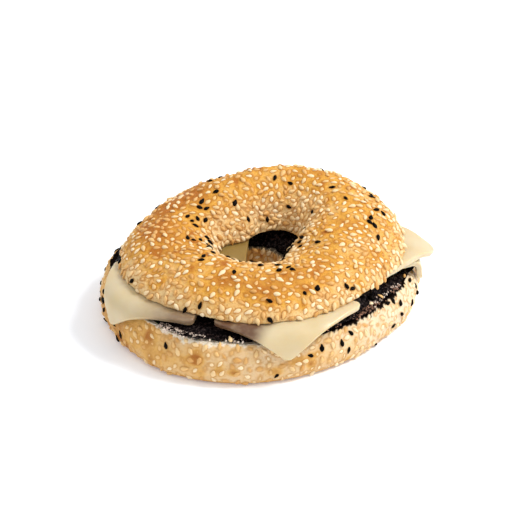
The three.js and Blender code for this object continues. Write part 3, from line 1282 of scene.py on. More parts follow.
@dataclass
class LowerHalf:
    """The lower half of the bread with its sesame.

    Args:
        around: how many steps its mesh has round the ring.
        section: how many steps it has round the section.
        reliefs: the lumps of its crust, and of its open crumb.
        seed_rise: how the crust swells round its seeds.
        spacing: the distance between seeds.
        bare: where they are farther apart.
        seeds_above: how high over the table the seeds start.
        seeds_below_cut: how far under the cut's edge they end.
        slice_reach: how far they keep from the slices of cheese.
        proud_in_hole: how much less they are sunk on the hole's wall.
        black: the share of black ones outside their patches.
        blackest: the patches with more black ones.
        toasted: the share of toasted ones on the palest crust.
        toasted_at_left: how much that grows towards the left, and shrinks towards the right.
        toasted_by_bake: how much it grows with the browning.
        bake: how brown the side is at the front and the back.
        bake_at_left: how much browner it is at the left, and paler at the right.
        bake_and_shade_at_foot: how much browner it is at the foot, partly real browning and partly painted
            contact shade.
        browned: the patches that are browner.
        blistered: the small toasted spots.
        halo: how strongly the crust is darkened round a seed, painted shade with some browning.
        seed_shade_and_browning_reach: from where to where that fades, with a seed's outline at 1.
        ripples: what makes the cut's edge ragged.
        rim_ragged: how much of that the outer edge has.
        hole_ragged: how much of it the edge at the hole has.
        torn_depth: how far under the cut's edge its crumb shows.
        torn: where it shows farther.
        paste_stain_and_shade_depth: how far under the cut's edge the darkening goes, stained by paste and
            partly painted shade of the gap between the halves.
        soaked: where it goes farther.
        paste_stain_and_shade_in_hole: how strong the darkening is on the hole's wall just under the cut,
            painted shade under the upper half as well as paste.
    """

    form: LowerForm = field(default_factory=LowerForm)
    around: int = 512
    section: int = 168
    reliefs: tuple[Relief, ...] = (
        Relief(12.0, 1.3, "skin"), Relief(4.5, 0.7, "skin"), Relief(1.8, 0.5, "skin", 2),
        Relief(1.4, 1.1, "cut", 3),
    )
    seed_rise: Relief = Relief(0.0, 0.18, "seeded")
    spacing: float = 2.65
    bare: tuple[Swell, ...] = (Swell(235, 0.6, 0.4, 40, 0.8),)
    seeds_above: float = 1.4
    seeds_below_cut: float = 0.9
    slice_reach: float = 2.0
    proud_in_hole: float = 0.5
    black: float = 0.05
    blackest: tuple[Swell, ...] = (Swell(-25, 0.7, 0.12, 30, 0.5), Swell(185, 0.9, 0.3, 14, 0.4))
    toasted: float = 0.3
    toasted_at_left: float = 0.22
    toasted_by_bake: float = 0.3
    bake: float = 0.28
    bake_at_left: float = 0.24
    bake_and_shade_at_foot: float = 0.5
    browned: tuple[Swell, ...] = (
        Swell(205, 0.75, 0.25, 12, 0.25),
        Swell(230, 0.6, 0.15, 10, 0.2),
        Swell(-60, 0.5, 0.2, 10, 0.3),
        Swell(100, 0.6, 0.2, 50, 0.5),
    )
    blistered: tuple[Swell, ...] = blisters(50, (0.09, 0.22), 11)
    halo: float = 0.65
    seed_shade_and_browning_reach: tuple[float, float] = (1.5, 1.0)
    ripples: tuple[Ripple, ...] = (Ripple(37.0, 0.25, 1.0), Ripple(83.0, 0.2), Ripple(151.0, 0.2))
    rim_ragged: float = 1.4
    hole_ragged: float = 1.6
    torn_depth: float = -0.35
    torn: tuple[Swell, ...] = (Swell(-114, 0.0, 1.9, 10, 9.0), Swell(-84, 0.0, 0.8, 12, 9.0))
    paste_stain_and_shade_depth: float = -0.6
    soaked: tuple[Swell, ...] = (
        Swell(-38, 0.0, 1.5, 20, 9.0), Swell(-12, 0.0, 0.8, 7, 9.0), Swell(168, 0.0, 1.3, 14, 9.0),
    )
    paste_stain_and_shade_in_hole: float = 0.8

    def browning(self, angle: Array, height: Array, level: Array) -> Array:
        """How brown each point of the crust is.

        Args:
            angle: round the ring.
            height: how far up the side or the wall, from 0 to 1.
            level: over the table.

        Returns:
            The browning, about 0 where it is palest and 1 where it is toasted.
        """
        # browner at the foot: real browning with painted contact shade
        bake = self.bake - self.bake_at_left * np.cos(angle) + self.bake_and_shade_at_foot * smooth(2.6, 0.2, level)
        bake += swells_at(self.browned, angle, height)
        return bake + swells_at(self.blistered, angle, 2.0 * height - 1.0)

    def sowing(self, angle: Array, height: Array, allowed: Array, side: Array, bake: Array) -> Sowing:
        """How the seeds lie at each point of the crust.

        Args:
            angle: round the ring.
            height: how far up the side or the wall, from 0 to 1.
            allowed: whether a seed may lie there.
            side: whether it is the outer side.
            bake: how brown the crust is.

        Returns:
            What the sesame's coat is sown by.
        """
        return Sowing(
            spacing=self.spacing + swells_at(self.bare, angle, height),
            allowed=allowed,
            black=self.black + swells_at(self.blackest, angle, height),
            toasted=self.toasted - self.toasted_at_left * np.cos(angle) + self.toasted_by_bake * bake,
            proud=np.where(side, 0.0, self.proud_in_hole),
        )

    def stains(self, angle: Array, height: Array, under_cut: Array, side: Array) -> tuple[Array, Array]:
        """How the torn crumb, and the darkening by paste stains and painted shade of the gap between the
        halves, show along the cut's ragged edge.

        Args:
            angle: round the ring.
            height: how far up the side or the wall, from 0 to 1, over 1 on the cut.
            under_cut: how far under the cut.
            side: whether it is the outer side.

        Returns:
            How much of each shows at each point, from 0 to 1.
        """
        ragged = sum(wave.height * np.sin(wave.count * angle + wave.shift) for wave in self.ripples)
        on_cut = height > 1.0
        torn_edge = self.torn_depth + swells_at(self.torn, angle) + self.rim_ragged * ragged
        torn = smooth(0.25, -0.25, under_cut - torn_edge) * side
        stain = swells_at(self.soaked, angle)
        paste_stain_and_shade_edge = self.paste_stain_and_shade_depth + stain + self.rim_ragged * ragged
        paste_stain_and_shade_side = smooth(0.2, -0.2, under_cut - paste_stain_and_shade_edge)
        # the cut face is darkened under the patches, and at its edge by the hole: stained by paste, with
        # painted shade of the gap under the upper half
        paste_stain_and_shade_cut = np.maximum(smooth(0.15, 0.4, stain), smooth(1.9, 1.94, height))
        # painted shade under the upper half, with paste, darkens the hole's wall just under the cut
        paste_stain_and_shade_wall = self.paste_stain_and_shade_in_hole * smooth(0.9, 0.1, under_cut - self.hole_ragged * ragged)
        soaked = np.where(side, paste_stain_and_shade_side, np.where(on_cut, paste_stain_and_shade_cut, paste_stain_and_shade_wall))
        return np.where(on_cut, 1.0, torn), soaked

    def build(self, crust: Material, coats: dict[SeedKind, Material], slices: Array) -> None:
        """Models the half and lays its seeds.

        Args:
            crust: the bread's material.
            coats: the material of each kind of seed.
            slices: the points of the slices of cheese, which the seeds keep clear of.
        """
        bread, angle, turn = ring_blank("lower_bread", self.around, self.section)
        points, height = self.form.point(angle, turn)
        level = points[:, 2]
        move_points(bread, to_frame(points))
        turn_faces_out(bread)
        on_cut, on_foot, side = height > 1.0, level < 0.3, turn < math.pi
        under_cut = self.form.cut.at(points[:, 0], points[:, 1]) - level
        weigh(bread, "skin", np.where(on_cut, 0.0, smooth(0.0, 2.0, level)))
        weigh(bread, "cut", np.maximum(on_cut * 1.0, smooth(1.6, 0.0, under_cut)))
        for relief in self.reliefs:
            relief.press(bread)
        bake = self.browning(angle, height, level)
        allowed = ~on_cut & (level > self.seeds_above) & (under_cut > self.seeds_below_cut)
        allowed &= out_of_reach(read_points(bread), slices, self.slice_reach * MM)
        coat = SesameCoat("lower", "crust_base", seed=23, sunk=(0.24, 0.78))
        gaps = coat.sow(bread, self.sowing(angle, height, allowed, side, bake), coats)
        weigh(bread, "seeded", smooth(*SWOLLEN, gaps) * ~on_cut * smooth(0.2, 1.2, level))
        self.seed_rise.press(bread)
        crumb, soaked = self.stains(angle, height, under_cut, side)
        write_attribute(bread, "bake", bake)
        write_attribute(bread, "crumb", crumb)
        # stained by paste, with painted shade of the gap between the halves
        write_attribute(bread, "soaked", soaked)
        # painted shade round the seeds, with some browning
        write_attribute(bread, "halo", self.halo * smooth(*self.seed_shade_and_browning_reach, gaps) * ~on_cut * ~on_foot)
        dress(bread, crust, "crust_base", ("bottom_bun",))


# ---------------------------------------------------------------- cheese


@dataclass(frozen=True)
class SmearAndShade:
    """Darkening of a slice, by oil and paste and by painted shade under the upper half, which fades from one
    place of the plan to another.

    Args:
        darkest: where the darkening is strongest.
        faded: where it ends.
        strength: how strong it is, from 0 to 1.
    """

    darkest: tuple[float, float]
    faded: tuple[float, float]
    strength: float

    def at(self, points: Array) -> Array:
        """The strength of the darkening at each point.

        Args:
            points: points on the plan.

        Returns:
            The strengths.
        """
        start, end = np.array(self.darkest), np.array(self.faded)
        way = end - start
        share = (points[:, :2] - start) @ way / (way @ way)
        return self.strength * smooth(1.0, 0.0, share)


@dataclass(frozen=True)
class CheeseSlice:
    """A slice of cheese that lies under the upper half and droops over the rim.

    Args:
        name: the slice's name, which is its solid's name too.
        corners: its corners as it would lie flat, in order.
        bend_from: from the middle of the lower half to where it starts to bend.
        bend_radius: the radius of the bend.
        bend_most: the steepest slope of the drooping part, in degrees.
        below: how many slices lie on it.
        smear_and_shade: where it is darkened, stained by paste and painted shade, if it is.
        hole_shade_painted: whether it is coloured darker and browner all over, painted shade of the hole.
        thickness: its thickness.
        corner_share: the part of each half side that its round corner takes.
        edge_round: the radius of its edges.
        edge_steps: how many steps round it they have.
        wave_height: how high the waves are that make it lie uneven.
        wave_turns: how fast they follow each other along X and along Y, in radians.
        wave_shift: how far those along X are shifted, in radians.
        steps: how many squares its grid has each way.
    """

    name: str
    corners: tuple[tuple[float, float], ...]
    bend_from: float
    bend_radius: float
    bend_most: float
    below: int = 0
    smear_and_shade: SmearAndShade | None = None
    hole_shade_painted: bool = False
    thickness: float = 2.4
    corner_share: float = 0.15
    edge_round: float = 0.55
    edge_steps: int = 4
    wave_height: float = 0.18
    wave_turns: tuple[float, float] = (0.42, 0.37)
    wave_shift: float = 1.0
    steps: int = 56

    def bed(self, x: Array, y: Array) -> Array:
        """The height of the slice's middle where it lies level."""
        stacked = CLEARANCE + self.thickness
        return UpperForm().cut.at(x, y) - CLEARANCE - self.thickness / 2.0 - self.below * stacked

    def drape(self, flat: Array) -> Array:
        """Bends the slice down over the rim.

        Args:
            flat: points of the flat slice, with their height over its middle.

        Returns:
            The points on the plan.
        """
        centre_x, centre_y = LowerForm().centre
        x, y, above = flat[:, 0], flat[:, 1], flat[:, 2]
        out_x, out_y = x - centre_x, y - centre_y
        length = np.hypot(out_x, out_y)
        beyond = np.maximum(length - self.bend_from, 0.0)
        unit_x, unit_y = out_x / length, out_y / length
        turn = np.minimum(beyond / self.bend_radius, math.radians(self.bend_most))
        straight = beyond - self.bend_radius * turn
        radius = self.bend_radius + above
        reach = self.bend_from + radius * np.sin(turn) + straight * np.cos(turn)
        drop = self.bend_radius - radius * np.cos(turn) + straight * np.sin(turn)
        rim_height = self.bed(centre_x + unit_x * self.bend_from, centre_y + unit_y * self.bend_from)
        bent = stack(centre_x + unit_x * reach, centre_y + unit_y * reach, rim_height - drop)
        level = stack(x, y, self.bed(x, y) + above)
        return np.where((length > self.bend_from)[:, None], bent, level)

    def spread(self, points: Array) -> Array:
        """Moves the points of a square from -1 to 1 into the slice's outline with round corners.

        Args:
            points: the square's points.

        Returns:
            The points on the plan, at their own heights.
        """
        straight = 1.0 - self.corner_share
        over = np.maximum(np.abs(points[:, :2]) - straight, 0.0)
        both = (over > 0.0).all(axis=1)
        diagonal = np.maximum(np.hypot(*over.T), 1e-9)  # kept over 0, as it divides
        pull = np.where(both, over.max(axis=1) / diagonal, 1.0)[:, None]
        square = np.where(both[:, None], np.sign(points[:, :2]) * (straight + over * pull), points[:, :2])
        across, along = (1.0 + square.T) / 2.0
        first, second, third, fourth = np.array(self.corners)
        front = first + (second - first) * across[:, None]
        back = fourth + (third - fourth) * across[:, None]
        return np.column_stack([front + (back - front) * along[:, None], points[:, 2]])

    def build(self, cheese: Material) -> Object:
        """Models the slice: a grid is given its outline, thickness and round edges, then drapes.

        Args:
            cheese: its material.

        Returns:
            The piece.
        """
        deselect_all()
        bpy.ops.mesh.primitive_grid_add(x_subdivisions=self.steps, y_subdivisions=self.steps, size=2.0)
        piece = bpy.context.object
        piece.name = piece.data.name = f"{self.name}_slice"
        move_points(piece, self.spread(read_points(piece)))
        activate(piece)
        solidify = piece.modifiers.new("thickness", "SOLIDIFY")
        solidify.thickness = self.thickness
        solidify.offset = 0.0
        bpy.ops.object.modifier_apply(modifier=solidify.name)
        bevel = piece.modifiers.new("edges", "BEVEL")
        bevel.width = self.edge_round
        bevel.segments = self.edge_steps
        bevel.limit_method = "ANGLE"
        bevel.angle_limit = math.radians(60)
        bpy.ops.object.modifier_apply(modifier=bevel.name)
        flat = read_points(piece)
        along_x = np.sin(flat[:, 0] * self.wave_turns[0] + self.wave_shift)
        along_y = np.sin(flat[:, 1] * self.wave_turns[1])
        flat[:, 2] += self.wave_height * along_x * along_y
        move_points(piece, to_frame(self.drape(flat)))
        turn_faces_out(piece)
        # darkening by paste and painted shade under the upper half's overhang
        write_attribute(piece, "stain", self.smear_and_shade.at(flat) if self.smear_and_shade else np.zeros(len(flat)))
        return dress(piece, cheese, "cheese", (self.name,))


SLICES = (
    CheeseSlice(
        "cheese_left", ((-26.5, -54.0), (-18.5, -21.5), (-58.2, -3.0), (-64.9, -38.0)), 57.5, 7.5, 82.0,
        # painted shade: the slice's end under the upper half's overhang is darker
        smear_and_shade=SmearAndShade((-30.0, -50.0), (-56.0, -44.0), 0.85),
    ),
    CheeseSlice(
        "cheese_front", ((10.8, -71.0), (38.6, -41.2), (8.0, -22.0), (-19.5, -53.5)), 55.5, 9.0, 72.0,
        # stained by paste on its left edge, and painted shade on its top under the upper half's overhang
        smear_and_shade=SmearAndShade((-4.8, -62.0), (1.3, -65.5), 1.0),
    ),
    CheeseSlice(
        "cheese_right_lower", ((40.0, -15.0), (72.8, 6.0), (49.0, 30.0), (24.0, 12.0)), 60.6, 4.0, 80.0,
        below=1,
    ),
    CheeseSlice(
        "cheese_right_upper", ((44.1, -22.8), (71.9, 9.5), (48.0, 33.0), (23.1, 1.7)), 62.0, 13.0, 32.0,
        corner_share=0.3,
    ),
    CheeseSlice(
        "cheese_back", ((-6.6, -9.0), (-4.5, 30.0), (-38.0, 32.0), (-40.0, -7.0)), 60.0, 10.0, 40.0,
        # painted shade: the slice that shows in the hole is coloured darker and browner all over
        hole_shade_painted=True,
    ),
)


# ---------------------------------------------------------------- olive paste


@dataclass
class PasteLayer:
    """The layer of olive paste on the lower cut face, with lumps where no cheese holds it down.

    Args:
        around: how many steps its mesh has round the ring.
        section: how many steps it has round the section.
        over_share: the share of the section's steps that its top gets.
        rim_margin: how far it ends inside the cut's outer edge.
        rim_lobes: what makes its outer edge ragged.
        drawn_in: where it stops short of the rim, or is squeezed out over it.
        hole_margin: how far it ends from the hole.
        hole_lobes: what makes its edge at the hole ragged.
        thinnest: its thickness at its edges.
        edge_taper: how far in from an edge it is fully thick.
        slice_margin: how far round a slice it is still held down.
        slice_clearance: how far under a slice it lies.
        open_drop: how far under the upper half it lies where there is no slice.
        lump_height: how high its broad lumps are.
        lump_lengths: how long they are along X and along Y.
        lump_skew: how far their rows lean.
        reliefs: its finer lumps.
    """

    around: int = 512
    section: int = 120
    over_share: float = 0.75
    rim_margin: float = 0.1
    rim_lobes: tuple[Lobe, ...] = (
        Lobe(5, 0.006, 20), Lobe(9, 0.006, 5), Lobe(14, 0.006, 11), Lobe(37, 0.005, 2), Lobe(61, 0.004, 1),
    )
    drawn_in: tuple[Swell, ...] = (Swell(168, 0.0, 2.2, 14, 9.0), Swell(6, 0.0, -2.4, 3.5, 9.0))
    hole_margin: float = 0.8
    hole_lobes: tuple[Lobe, ...] = (
        Lobe(7, 0.02, 20), Lobe(12, 0.022, 5), Lobe(19, 0.02, 11), Lobe(31, 0.012, 2),
    )
    thinnest: float = 0.75
    edge_taper: float = 7.0
    slice_margin: float = 5.5
    slice_clearance: float = 0.5
    open_drop: float = 2.2
    lump_height: float = 0.8
    lump_lengths: tuple[float, float] = (9.5, 6.1)
    lump_skew: tuple[float, float] = (0.2, -0.15)
    reliefs: tuple[Relief, ...] = (Relief(3.2, 2.4, "free", 2), Relief(1.3, 1.3, "free", 2))

    def inside(self, cheese: CheeseSlice, x: Array, y: Array) -> Array:
        """How far each place lies inside a slice's flat outline.

        Args:
            cheese: the slice.
            x: the places on the plan.
            y: the places on the plan.

        Returns:
            The distance from the nearest side, less than 0 outside.
        """
        corners = np.array(cheese.corners)
        depths = []
        for start, end in zip(corners, np.roll(corners, -1, axis=0)):
            side = end - start
            depths.append((side[0] * (y - start[1]) - side[1] * (x - start[0])) / np.hypot(*side))
        return np.min(depths, axis=0)

    def underside(self, cheese: CheeseSlice, x: Array, y: Array) -> Array:
        """The height of a slice's underside over each place.

        Args:
            cheese: the slice.
            x: the places on the plan.
            y: the places on the plan.

        Returns:
            The heights.
        """
        centre = LowerForm().centre
        beyond = np.maximum(np.hypot(x - centre[0], y - centre[1]) - cheese.bend_from, 0.0)
        radius = cheese.bend_radius - cheese.thickness / 2.0
        dip = radius - np.sqrt(np.maximum(radius**2 - beyond**2, 0.0))
        return cheese.bed(x, y) - cheese.thickness / 2.0 - dip

    def top(self, x: Array, y: Array, inward: Array) -> Array:
        """The height of the paste over each place.

        Args:
            x: the places on the plan.
            y: the places on the plan.
            inward: how far in from the layer's nearer edge they are.

        Returns:
            The heights.
        """
        floor = LowerForm().cut.at(x, y) + CLEARANCE + self.thinnest
        turn_x, turn_y = (2.0 * math.pi / length for length in self.lump_lengths)
        lump = np.sin(x * turn_x + y * self.lump_skew[0]) * np.sin(y * turn_y + x * self.lump_skew[1])
        full = UpperForm().cut.at(x, y) - self.open_drop + self.lump_height * lump
        for cheese in SLICES:
            under = self.underside(cheese, x, y) - self.slice_clearance
            covered = self.inside(cheese, x, y) > -self.slice_margin
            full = np.where(covered, np.minimum(full, under), full)
        taper = np.clip(inward / self.edge_taper, 0.0, 1.0)
        return floor + np.maximum(full - floor, 0.0) * taper

    def build(self, paste: Material) -> Object:
        """Models the layer, a flat ring whose section runs over the top and back below.

        Args:
            paste: its material.

        Returns:
            The piece.
        """
        lower = LowerForm()
        piece, angle, turn = ring_blank("paste_layer", self.around, self.section)
        rim = lobed(lower.radius, lower.lobes, angle) - lower.rim_inset - self.rim_margin
        drawn_in = swells_at(self.drawn_in, angle)
        rim = lobed(rim, self.rim_lobes, angle) - drawn_in
        hole = lobed(lower.hole_radius, lower.hole_lobes, angle) + self.hole_margin
        hole = lobed(hole, self.hole_lobes, angle)
        outer = stack(*on_circle(lower.centre, rim, angle), np.zeros_like(rim))
        inner = stack(*on_circle(lower.hole_centre, hole, angle), np.zeros_like(hole))
        width = np.linalg.norm(outer - inner, axis=1)
        over_end = 2.0 * math.pi * self.over_share
        below = 2.0 * math.pi * (1.0 - self.over_share)
        over = turn <= over_end
        share = np.where(over, 1.0 - turn / over_end, (turn - over_end) / below)
        flat = inner + (outer - inner) * share[:, None]
        x, y = flat[:, 0], flat[:, 1]
        inward = width * np.minimum(share, 1.0 - share)
        height = np.where(over, self.top(x, y, inward), lower.cut.at(x, y) + CLEARANCE)
        move_points(piece, to_frame(stack(x, y, height)))
        turn_faces_out(piece)
        covered = np.max([self.inside(cheese, x, y) for cheese in SLICES], axis=0)
        free = smooth(1.5, -1.0, covered) * (1.0 - 0.25 * drawn_in)
        weigh(piece, "free", np.where(over, free, 0.0))
        for relief in self.reliefs:
            relief.press(piece)
        return dress(piece, paste, "olive_paste", ("olive_paste",))


# ---------------------------------------------------------------- crumbs


@dataclass
class CrumbTrail:
    """Bread crumbs that have broken off the cut and lie in clumps in the paste near the rim.

    Args:
        name: the piece's name.
        span: between which angles round the lower half they lie.
        count: how many there are.
        clumps: how many clumps they gather in.
        rim_width: how far in from the rim they reach.
        spill: how far out over the rim they reach.
        seed: starts the random draws.
        stained: whether the paste has stained them.
        clump_reach: how far a crumb lies from the middle of its clump.
        size: their least and greatest size.
        flakes: how many of them are larger flakes.
        flake_size: the flakes' least and greatest size.
        flake_shape: the flakes' length, width and thickness.
        rough: how near the middle and how far from it the points of a crumb lie.
        uneven: how much shorter or longer a crumb is along each of its axes.
        jitter: how far a crumb lies from its point of the paste.
        jitter_shape: how much of that counts along each axis.
    """

    name: str
    span: tuple[float, float]
    count: int
    clumps: int
    rim_width: float
    spill: float
    seed: int
    stained: bool = False
    clump_reach: float = 1.5
    size: tuple[float, float] = (0.2, 0.7)
    flakes: int = 8
    flake_size: tuple[float, float] = (0.9, 1.7)
    flake_shape: tuple[float, float, float] = (1.0, 0.6, 0.35)
    rough: tuple[float, float] = (0.55, 1.4)
    uneven: tuple[float, float] = (0.5, 1.5)
    jitter: float = 0.35
    jitter_shape: tuple[float, float, float] = (1.0, 1.0, 0.2)

    def build(self, layer: Object, crumb: Material) -> None:
        """Models a rough crumb and scatters it over the paste's edge.

        Args:
            layer: the paste.
            crumb: the crumbs' material.
        """
        draw = np.random.default_rng(self.seed)
        deselect_all()
        bpy.ops.mesh.primitive_ico_sphere_add(subdivisions=2, radius=0.5)
        model = bpy.context.object
        points = read_points(model)
        move_points(model, points * draw.uniform(*self.rough, (len(points), 1)))
        grain = Grain.take(model)
        paste, normals = read_points(layer), read_normals(layer)
        lower = LowerForm()
        from_centre = to_plan(paste)[:, :2] - lower.centre
        angle = np.degrees(np.arctan2(from_centre[:, 1], from_centre[:, 0]))
        rim = lobed(lower.radius, lower.lobes, np.radians(angle)) - lower.rim_inset
        near_rim = (rim - np.hypot(*from_centre.T) < self.rim_width) & (normals[:, 2] > 0.0)
        sites = np.flatnonzero(near_rim & (angle > self.span[0]) & (angle < self.span[1]))
        middles = paste[draw.choice(sites, self.clumps, replace=False)]
        goals = middles[draw.integers(0, self.clumps, self.count)]
        apart = draw.normal(0.0, self.clump_reach * MM, (self.count, 3))
        goals = goals + apart * np.array([1.0, 1.0, 0.0])  # the clumps spread on the level
        picked = [sites[np.argmin(np.sum((paste[sites] - goal) ** 2, axis=1))] for goal in goals]
        turns = np.linalg.qr(draw.normal(0.0, 1.0, (self.count, 3, 3)))[0]
        turns *= np.linalg.det(turns)[:, None, None]  # so that none turns a crumb inside out
        sizes = draw.uniform(*self.size, (self.count, 1)) * draw.uniform(*self.uneven, (self.count, 3))
        flake_sizes = draw.uniform(*self.flake_size, (self.flakes, 1))
        sizes[: self.flakes] = flake_sizes * np.array(self.flake_shape)
        jitter = draw.normal(0.0, self.jitter * MM, (self.count, 3))
        places = paste[picked] + jitter * np.array(self.jitter_shape)
        way = np.radians(angle[picked])
        outward = stack(np.cos(way), np.sin(way), np.zeros_like(way))
        places += outward * draw.uniform(0.0, self.spill * MM, (self.count, 1))
        piece = joined_copies(self.name, grain, places, turns, sizes, draw.random(self.count))
        dress(piece, crumb, "crust_base")


CRUMB_TRAILS = (
    CrumbTrail("white_crumbs", (-128.0, -90.0), 190, 18, 2.4, 0.9, 5),
    CrumbTrail("stained_crumbs", (-72.0, -8.0), 220, 60, 0.9, 1.1, 9, stained=True),
    CrumbTrail("pale_crumbs", (-42.0, -10.0), 70, 9, 1.8, 0.9, 12),
    CrumbTrail("back_crumbs", (40.0, 150.0), 160, 70, 1.0, 1.0, 15, stained=True),
)


@dataclass(frozen=True)
class FallenSeed:
    """A seed that has fallen off the crust.

    Args:
        kind: its colour.
        toward: its angle round the lower half, in degrees.
        inward: how far it lies in from the rim.
    """

    kind: SeedKind
    toward: float
    inward: float


@dataclass
class FallenSeeds:
    """The seeds that lie stuck in the paste near the rim.

    Args:
        seeds: the seeds.
        lift: how high a seed's middle lies over the paste.
        tilt: how far a seed leans at random.
        goal_height: the height from which each looks for its place on the paste.
        height_counts: how much a difference of height counts in that, beside one on the plan.
        seed: starts the random draws.
    """

    seeds: tuple[FallenSeed, ...] = (
        FallenSeed(SeedKind.BLACK, 4.0, -1.6),
        FallenSeed(SeedKind.BLACK, 8.0, -1.0),
        FallenSeed(SeedKind.TOASTED, -3.0, 0.4),
        FallenSeed(SeedKind.TOASTED, -25.0, 1.6),
        FallenSeed(SeedKind.BLACK, -31.0, 2.4),
        FallenSeed(SeedKind.IVORY, -34.0, 0.9),
        FallenSeed(SeedKind.IVORY, -100.0, 1.4),
        FallenSeed(SeedKind.IVORY, 62.0, 1.2),
        FallenSeed(SeedKind.BLACK, 88.0, 2.2),
        FallenSeed(SeedKind.TOASTED, 117.0, 0.8),
        FallenSeed(SeedKind.IVORY, 141.0, 1.7),
        FallenSeed(SeedKind.BLACK, 203.0, 1.5),
    )
    lift: float = 0.25
    tilt: float = 0.2
    goal_height: float = 30.0
    height_counts: float = 0.04
    seed: int = 41

    def build(self, layer: Object, coats: dict[SeedKind, Material]) -> None:
        """Lays each seed on the paste at its place.

        Args:
            layer: the paste.
            coats: the material of each kind of seed.
        """
        draw = np.random.default_rng(self.seed)
        lower = LowerForm()
        points, normals = read_points(layer), read_normals(layer)
        plan = to_plan(points)
        way = np.radians([fallen.toward for fallen in self.seeds])
        inward = np.array([fallen.inward for fallen in self.seeds])
        reach = lobed(lower.radius, lower.lobes, way) - lower.rim_inset - inward
        goals = stack(*on_circle(lower.centre, reach, way), np.full_like(way, self.goal_height))
        counts = (1.0, 1.0, self.height_counts)
        picked = np.array([np.argmin(np.sum((plan - goal) ** 2 * counts, axis=1)) for goal in goals])
        grain = SesameSeed().model()
        for kind in SeedKind:
            sites = picked[[fallen.kind is kind for fallen in self.seeds]]
            axes = lying_axes(normals[sites], self.tilt, draw)
            places = points[sites] + normals[sites] * self.lift * MM
            piece = joined_copies(
                f"sesame_{kind.value}_fallen", grain, places, axes, np.ones((len(sites), 3)),
                draw.random(len(sites)),
            )
            dress(piece, coats[kind], "crust_base")


# ---------------------------------------------------------------- studio


@dataclass
class Studio:
    """The paper, the lights and the camera at the photograph's angle.

    Args:
        target: the point of the frame that the camera is aimed at, in millimetres.
        target_pixel: where it falls in the picture, from its upper left corner.
        frame_pixels: how many pixels wide the picture is.
        pixels_per_mm: the picture's scale at the target.
        distance: from the target to the camera.
        elevation: how many degrees the camera looks down.
        sensor: the width of its sensor.
        nearest: the nearest that it shows, in metres.
        farthest: the farthest that it shows, in metres.
        key_from: where the large light hangs.
        key_size: how wide it is.
        key_power: its power in watts.
        fill_strength: how strong the light from all round is.
        paper_width: how wide the paper is, in metres.
    """

    target: tuple[float, float, float] = (-2.21, 0.88, 20.0)
    target_pixel: tuple[float, float] = (262.0, 262.0)
    frame_pixels: float = 510.0
    pixels_per_mm: float = 2.5
    distance: float = 900.0
    elevation: float = 27.0
    sensor: float = 36.0
    nearest: float = 0.01
    farthest: float = 20.0
    key_from: tuple[float, float, float] = (660.0, -20.0, 840.0)
    key_size: float = 340.0
    key_power: float = 8.4
    fill_strength: float = 0.85
    paper_width: float = 6.0

    def camera(self) -> None:
        """Sets up the camera, moved sideways so that the target falls on its pixel."""
        tilt = math.radians(self.elevation)
        back = Vector((0.0, -math.cos(tilt), math.sin(tilt)))
        up = Vector((0.0, math.sin(tilt), math.cos(tilt)))
        right = Vector((1.0, 0.0, 0.0))
        off_x, off_y = ((pixel - self.frame_pixels / 2.0) / self.pixels_per_mm for pixel in self.target_pixel)
        place = Vector(self.target) + back * self.distance - right * off_x + up * off_y
        data = bpy.data.cameras.new("camera")
        data.sensor_width = self.sensor
        data.lens = self.sensor * self.distance * self.pixels_per_mm / self.frame_pixels
        data.clip_start, data.clip_end = self.nearest, self.farthest
        camera = bpy.data.objects.new("camera", data)
        camera.location = place * MM
        camera.rotation_euler = back.to_track_quat("Z", "Y").to_euler()
        bpy.context.scene.collection.objects.link(camera)
        bpy.context.scene.camera = camera

    def lights(self) -> None:
        """Sets up a large soft light high on the right, and even white light from all round."""
        data = bpy.data.lights.new("key", type="AREA")
        data.shape = "SQUARE"
        data.size = self.key_size * MM
        data.energy = self.key_power
        key = bpy.data.objects.new("key", data)
        key.location = Vector(self.key_from) * MM
        key.rotation_euler = (key.location - Vector(self.target) * MM).to_track_quat("Z", "Y").to_euler()
        bpy.context.scene.collection.objects.link(key)
        world = bpy.data.worlds.new("studio")
        world.use_nodes = True
        background = world.node_tree.nodes["Background"]
        background.inputs["Color"].default_value = linear("#ffffff")
        background.inputs["Strength"].default_value = self.fill_strength
        bpy.context.scene.world = world

    def floor(self, paper: Material) -> None:
        """Lays a wide sheet of paper under the sandwich."""
        deselect_all()
        bpy.ops.mesh.primitive_plane_add(size=self.paper_width)
        floor = bpy.context.object
        floor.name = "paper"
        floor.data.materials.append(paper)
        floor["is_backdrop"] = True

    def build(self, paper: Material) -> None:
        """Sets up everything round the sandwich.

        Args:
            paper: the material of the paper.
        """
        self.camera()
        self.lights()
        self.floor(paper)
        bpy.context.scene.view_settings.view_transform = "Standard"


def corners(bounds: tuple[Vector, Vector]) -> list[list[float]]:
    """A box's two corners as plain lists."""
    return [list(corner) for corner in bounds]


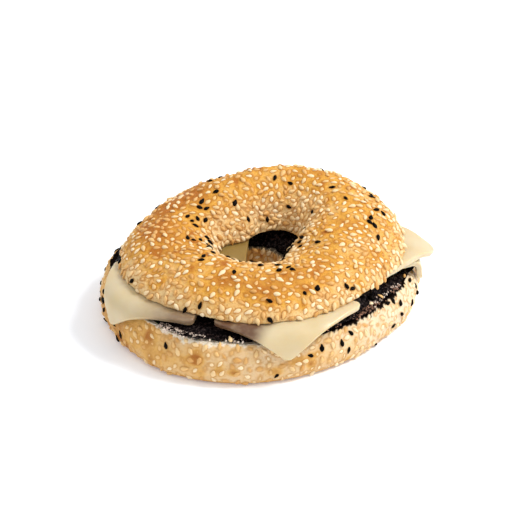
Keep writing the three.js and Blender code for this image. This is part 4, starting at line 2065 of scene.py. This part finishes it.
def main() -> None:
    """Builds the sandwich and the studio."""
    logging.basicConfig(level=logging.INFO, format="%(name)s: %(message)s")
    solid_box = corners(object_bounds())
    Studio().build(StudioPaper("white_paper", "#f4f7fc").material())
    # the crown's crust is golden with toasted blotches, the lower half's is paler and more even
    # the halo colours are painted shade round the seeds, with some browning
    upper_crust = BreadCrust(
        "golden_crust", pale="#edca90", golden="#e2a540", toasted="#b56c1d", halo="#b6701e", mottle=1.15
    )
    lower_crust = BreadCrust(
        "pale_crust", pale="#e6d1b0", golden="#dcab5e", toasted="#ab6a28", halo="#c08840", mottle=0.55
    )
    specks = {
        SeedKind.IVORY: Speck("ivory_sesame", dark="#e3bc7e", light="#f3deb6", roughness=0.42),
        SeedKind.TOASTED: Speck("toasted_sesame", dark="#cf9850", light="#e5ba78", roughness=0.45),
        SeedKind.BLACK: Speck("black_sesame", dark="#040302", light="#100b08", roughness=0.4, gloss=0.04),
    }
    coats = {kind: speck.material() for kind, speck in specks.items()}
    # four slices are pale and waxy, darkened where paste and painted shade fall, and the one that shows in
    # the hole is darker and browner all over, painted shade of the hole
    cheese = YellowCheese("sliced_cheese", body="#d2c19d", warm="#cfba8e", stain="#6b4c36").material()
    hole_shade_painted_cheese = YellowCheese("hole_shade_painted_cheese", body="#8f7640", warm="#856a36", stain="#7a663c").material()
    slices = [
        cheese_slice.build(hole_shade_painted_cheese if cheese_slice.hole_shade_painted else cheese) for cheese_slice in SLICES
    ]
    paste = OlivePaste("black_olive_paste", deep="#090506", flesh="#3a2622").material()
    layer = PasteLayer().build(paste)
    white_crumb = Speck("white_crumb", dark="#a98f80", light="#efdfcf", roughness=0.85, gloss=0.2)
    stained_crumb = Speck("stained_crumb", dark="#2c1812", light="#a97f68", roughness=0.8, gloss=0.2)
    crumbs = {False: white_crumb.material(), True: stained_crumb.material()}
    for trail in CRUMB_TRAILS:
        trail.build(layer, crumbs[trail.stained])
    FallenSeeds().build(layer, coats)
    slice_points = np.concatenate([read_points(piece) for piece in slices])
    LowerHalf().build(lower_crust.material(), coats, slice_points)
    UpperHalf().build(upper_crust.material(), coats)
    {"solids": solid_box, "looks": corners(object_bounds())}


if __name__ == "__main__":
    main()
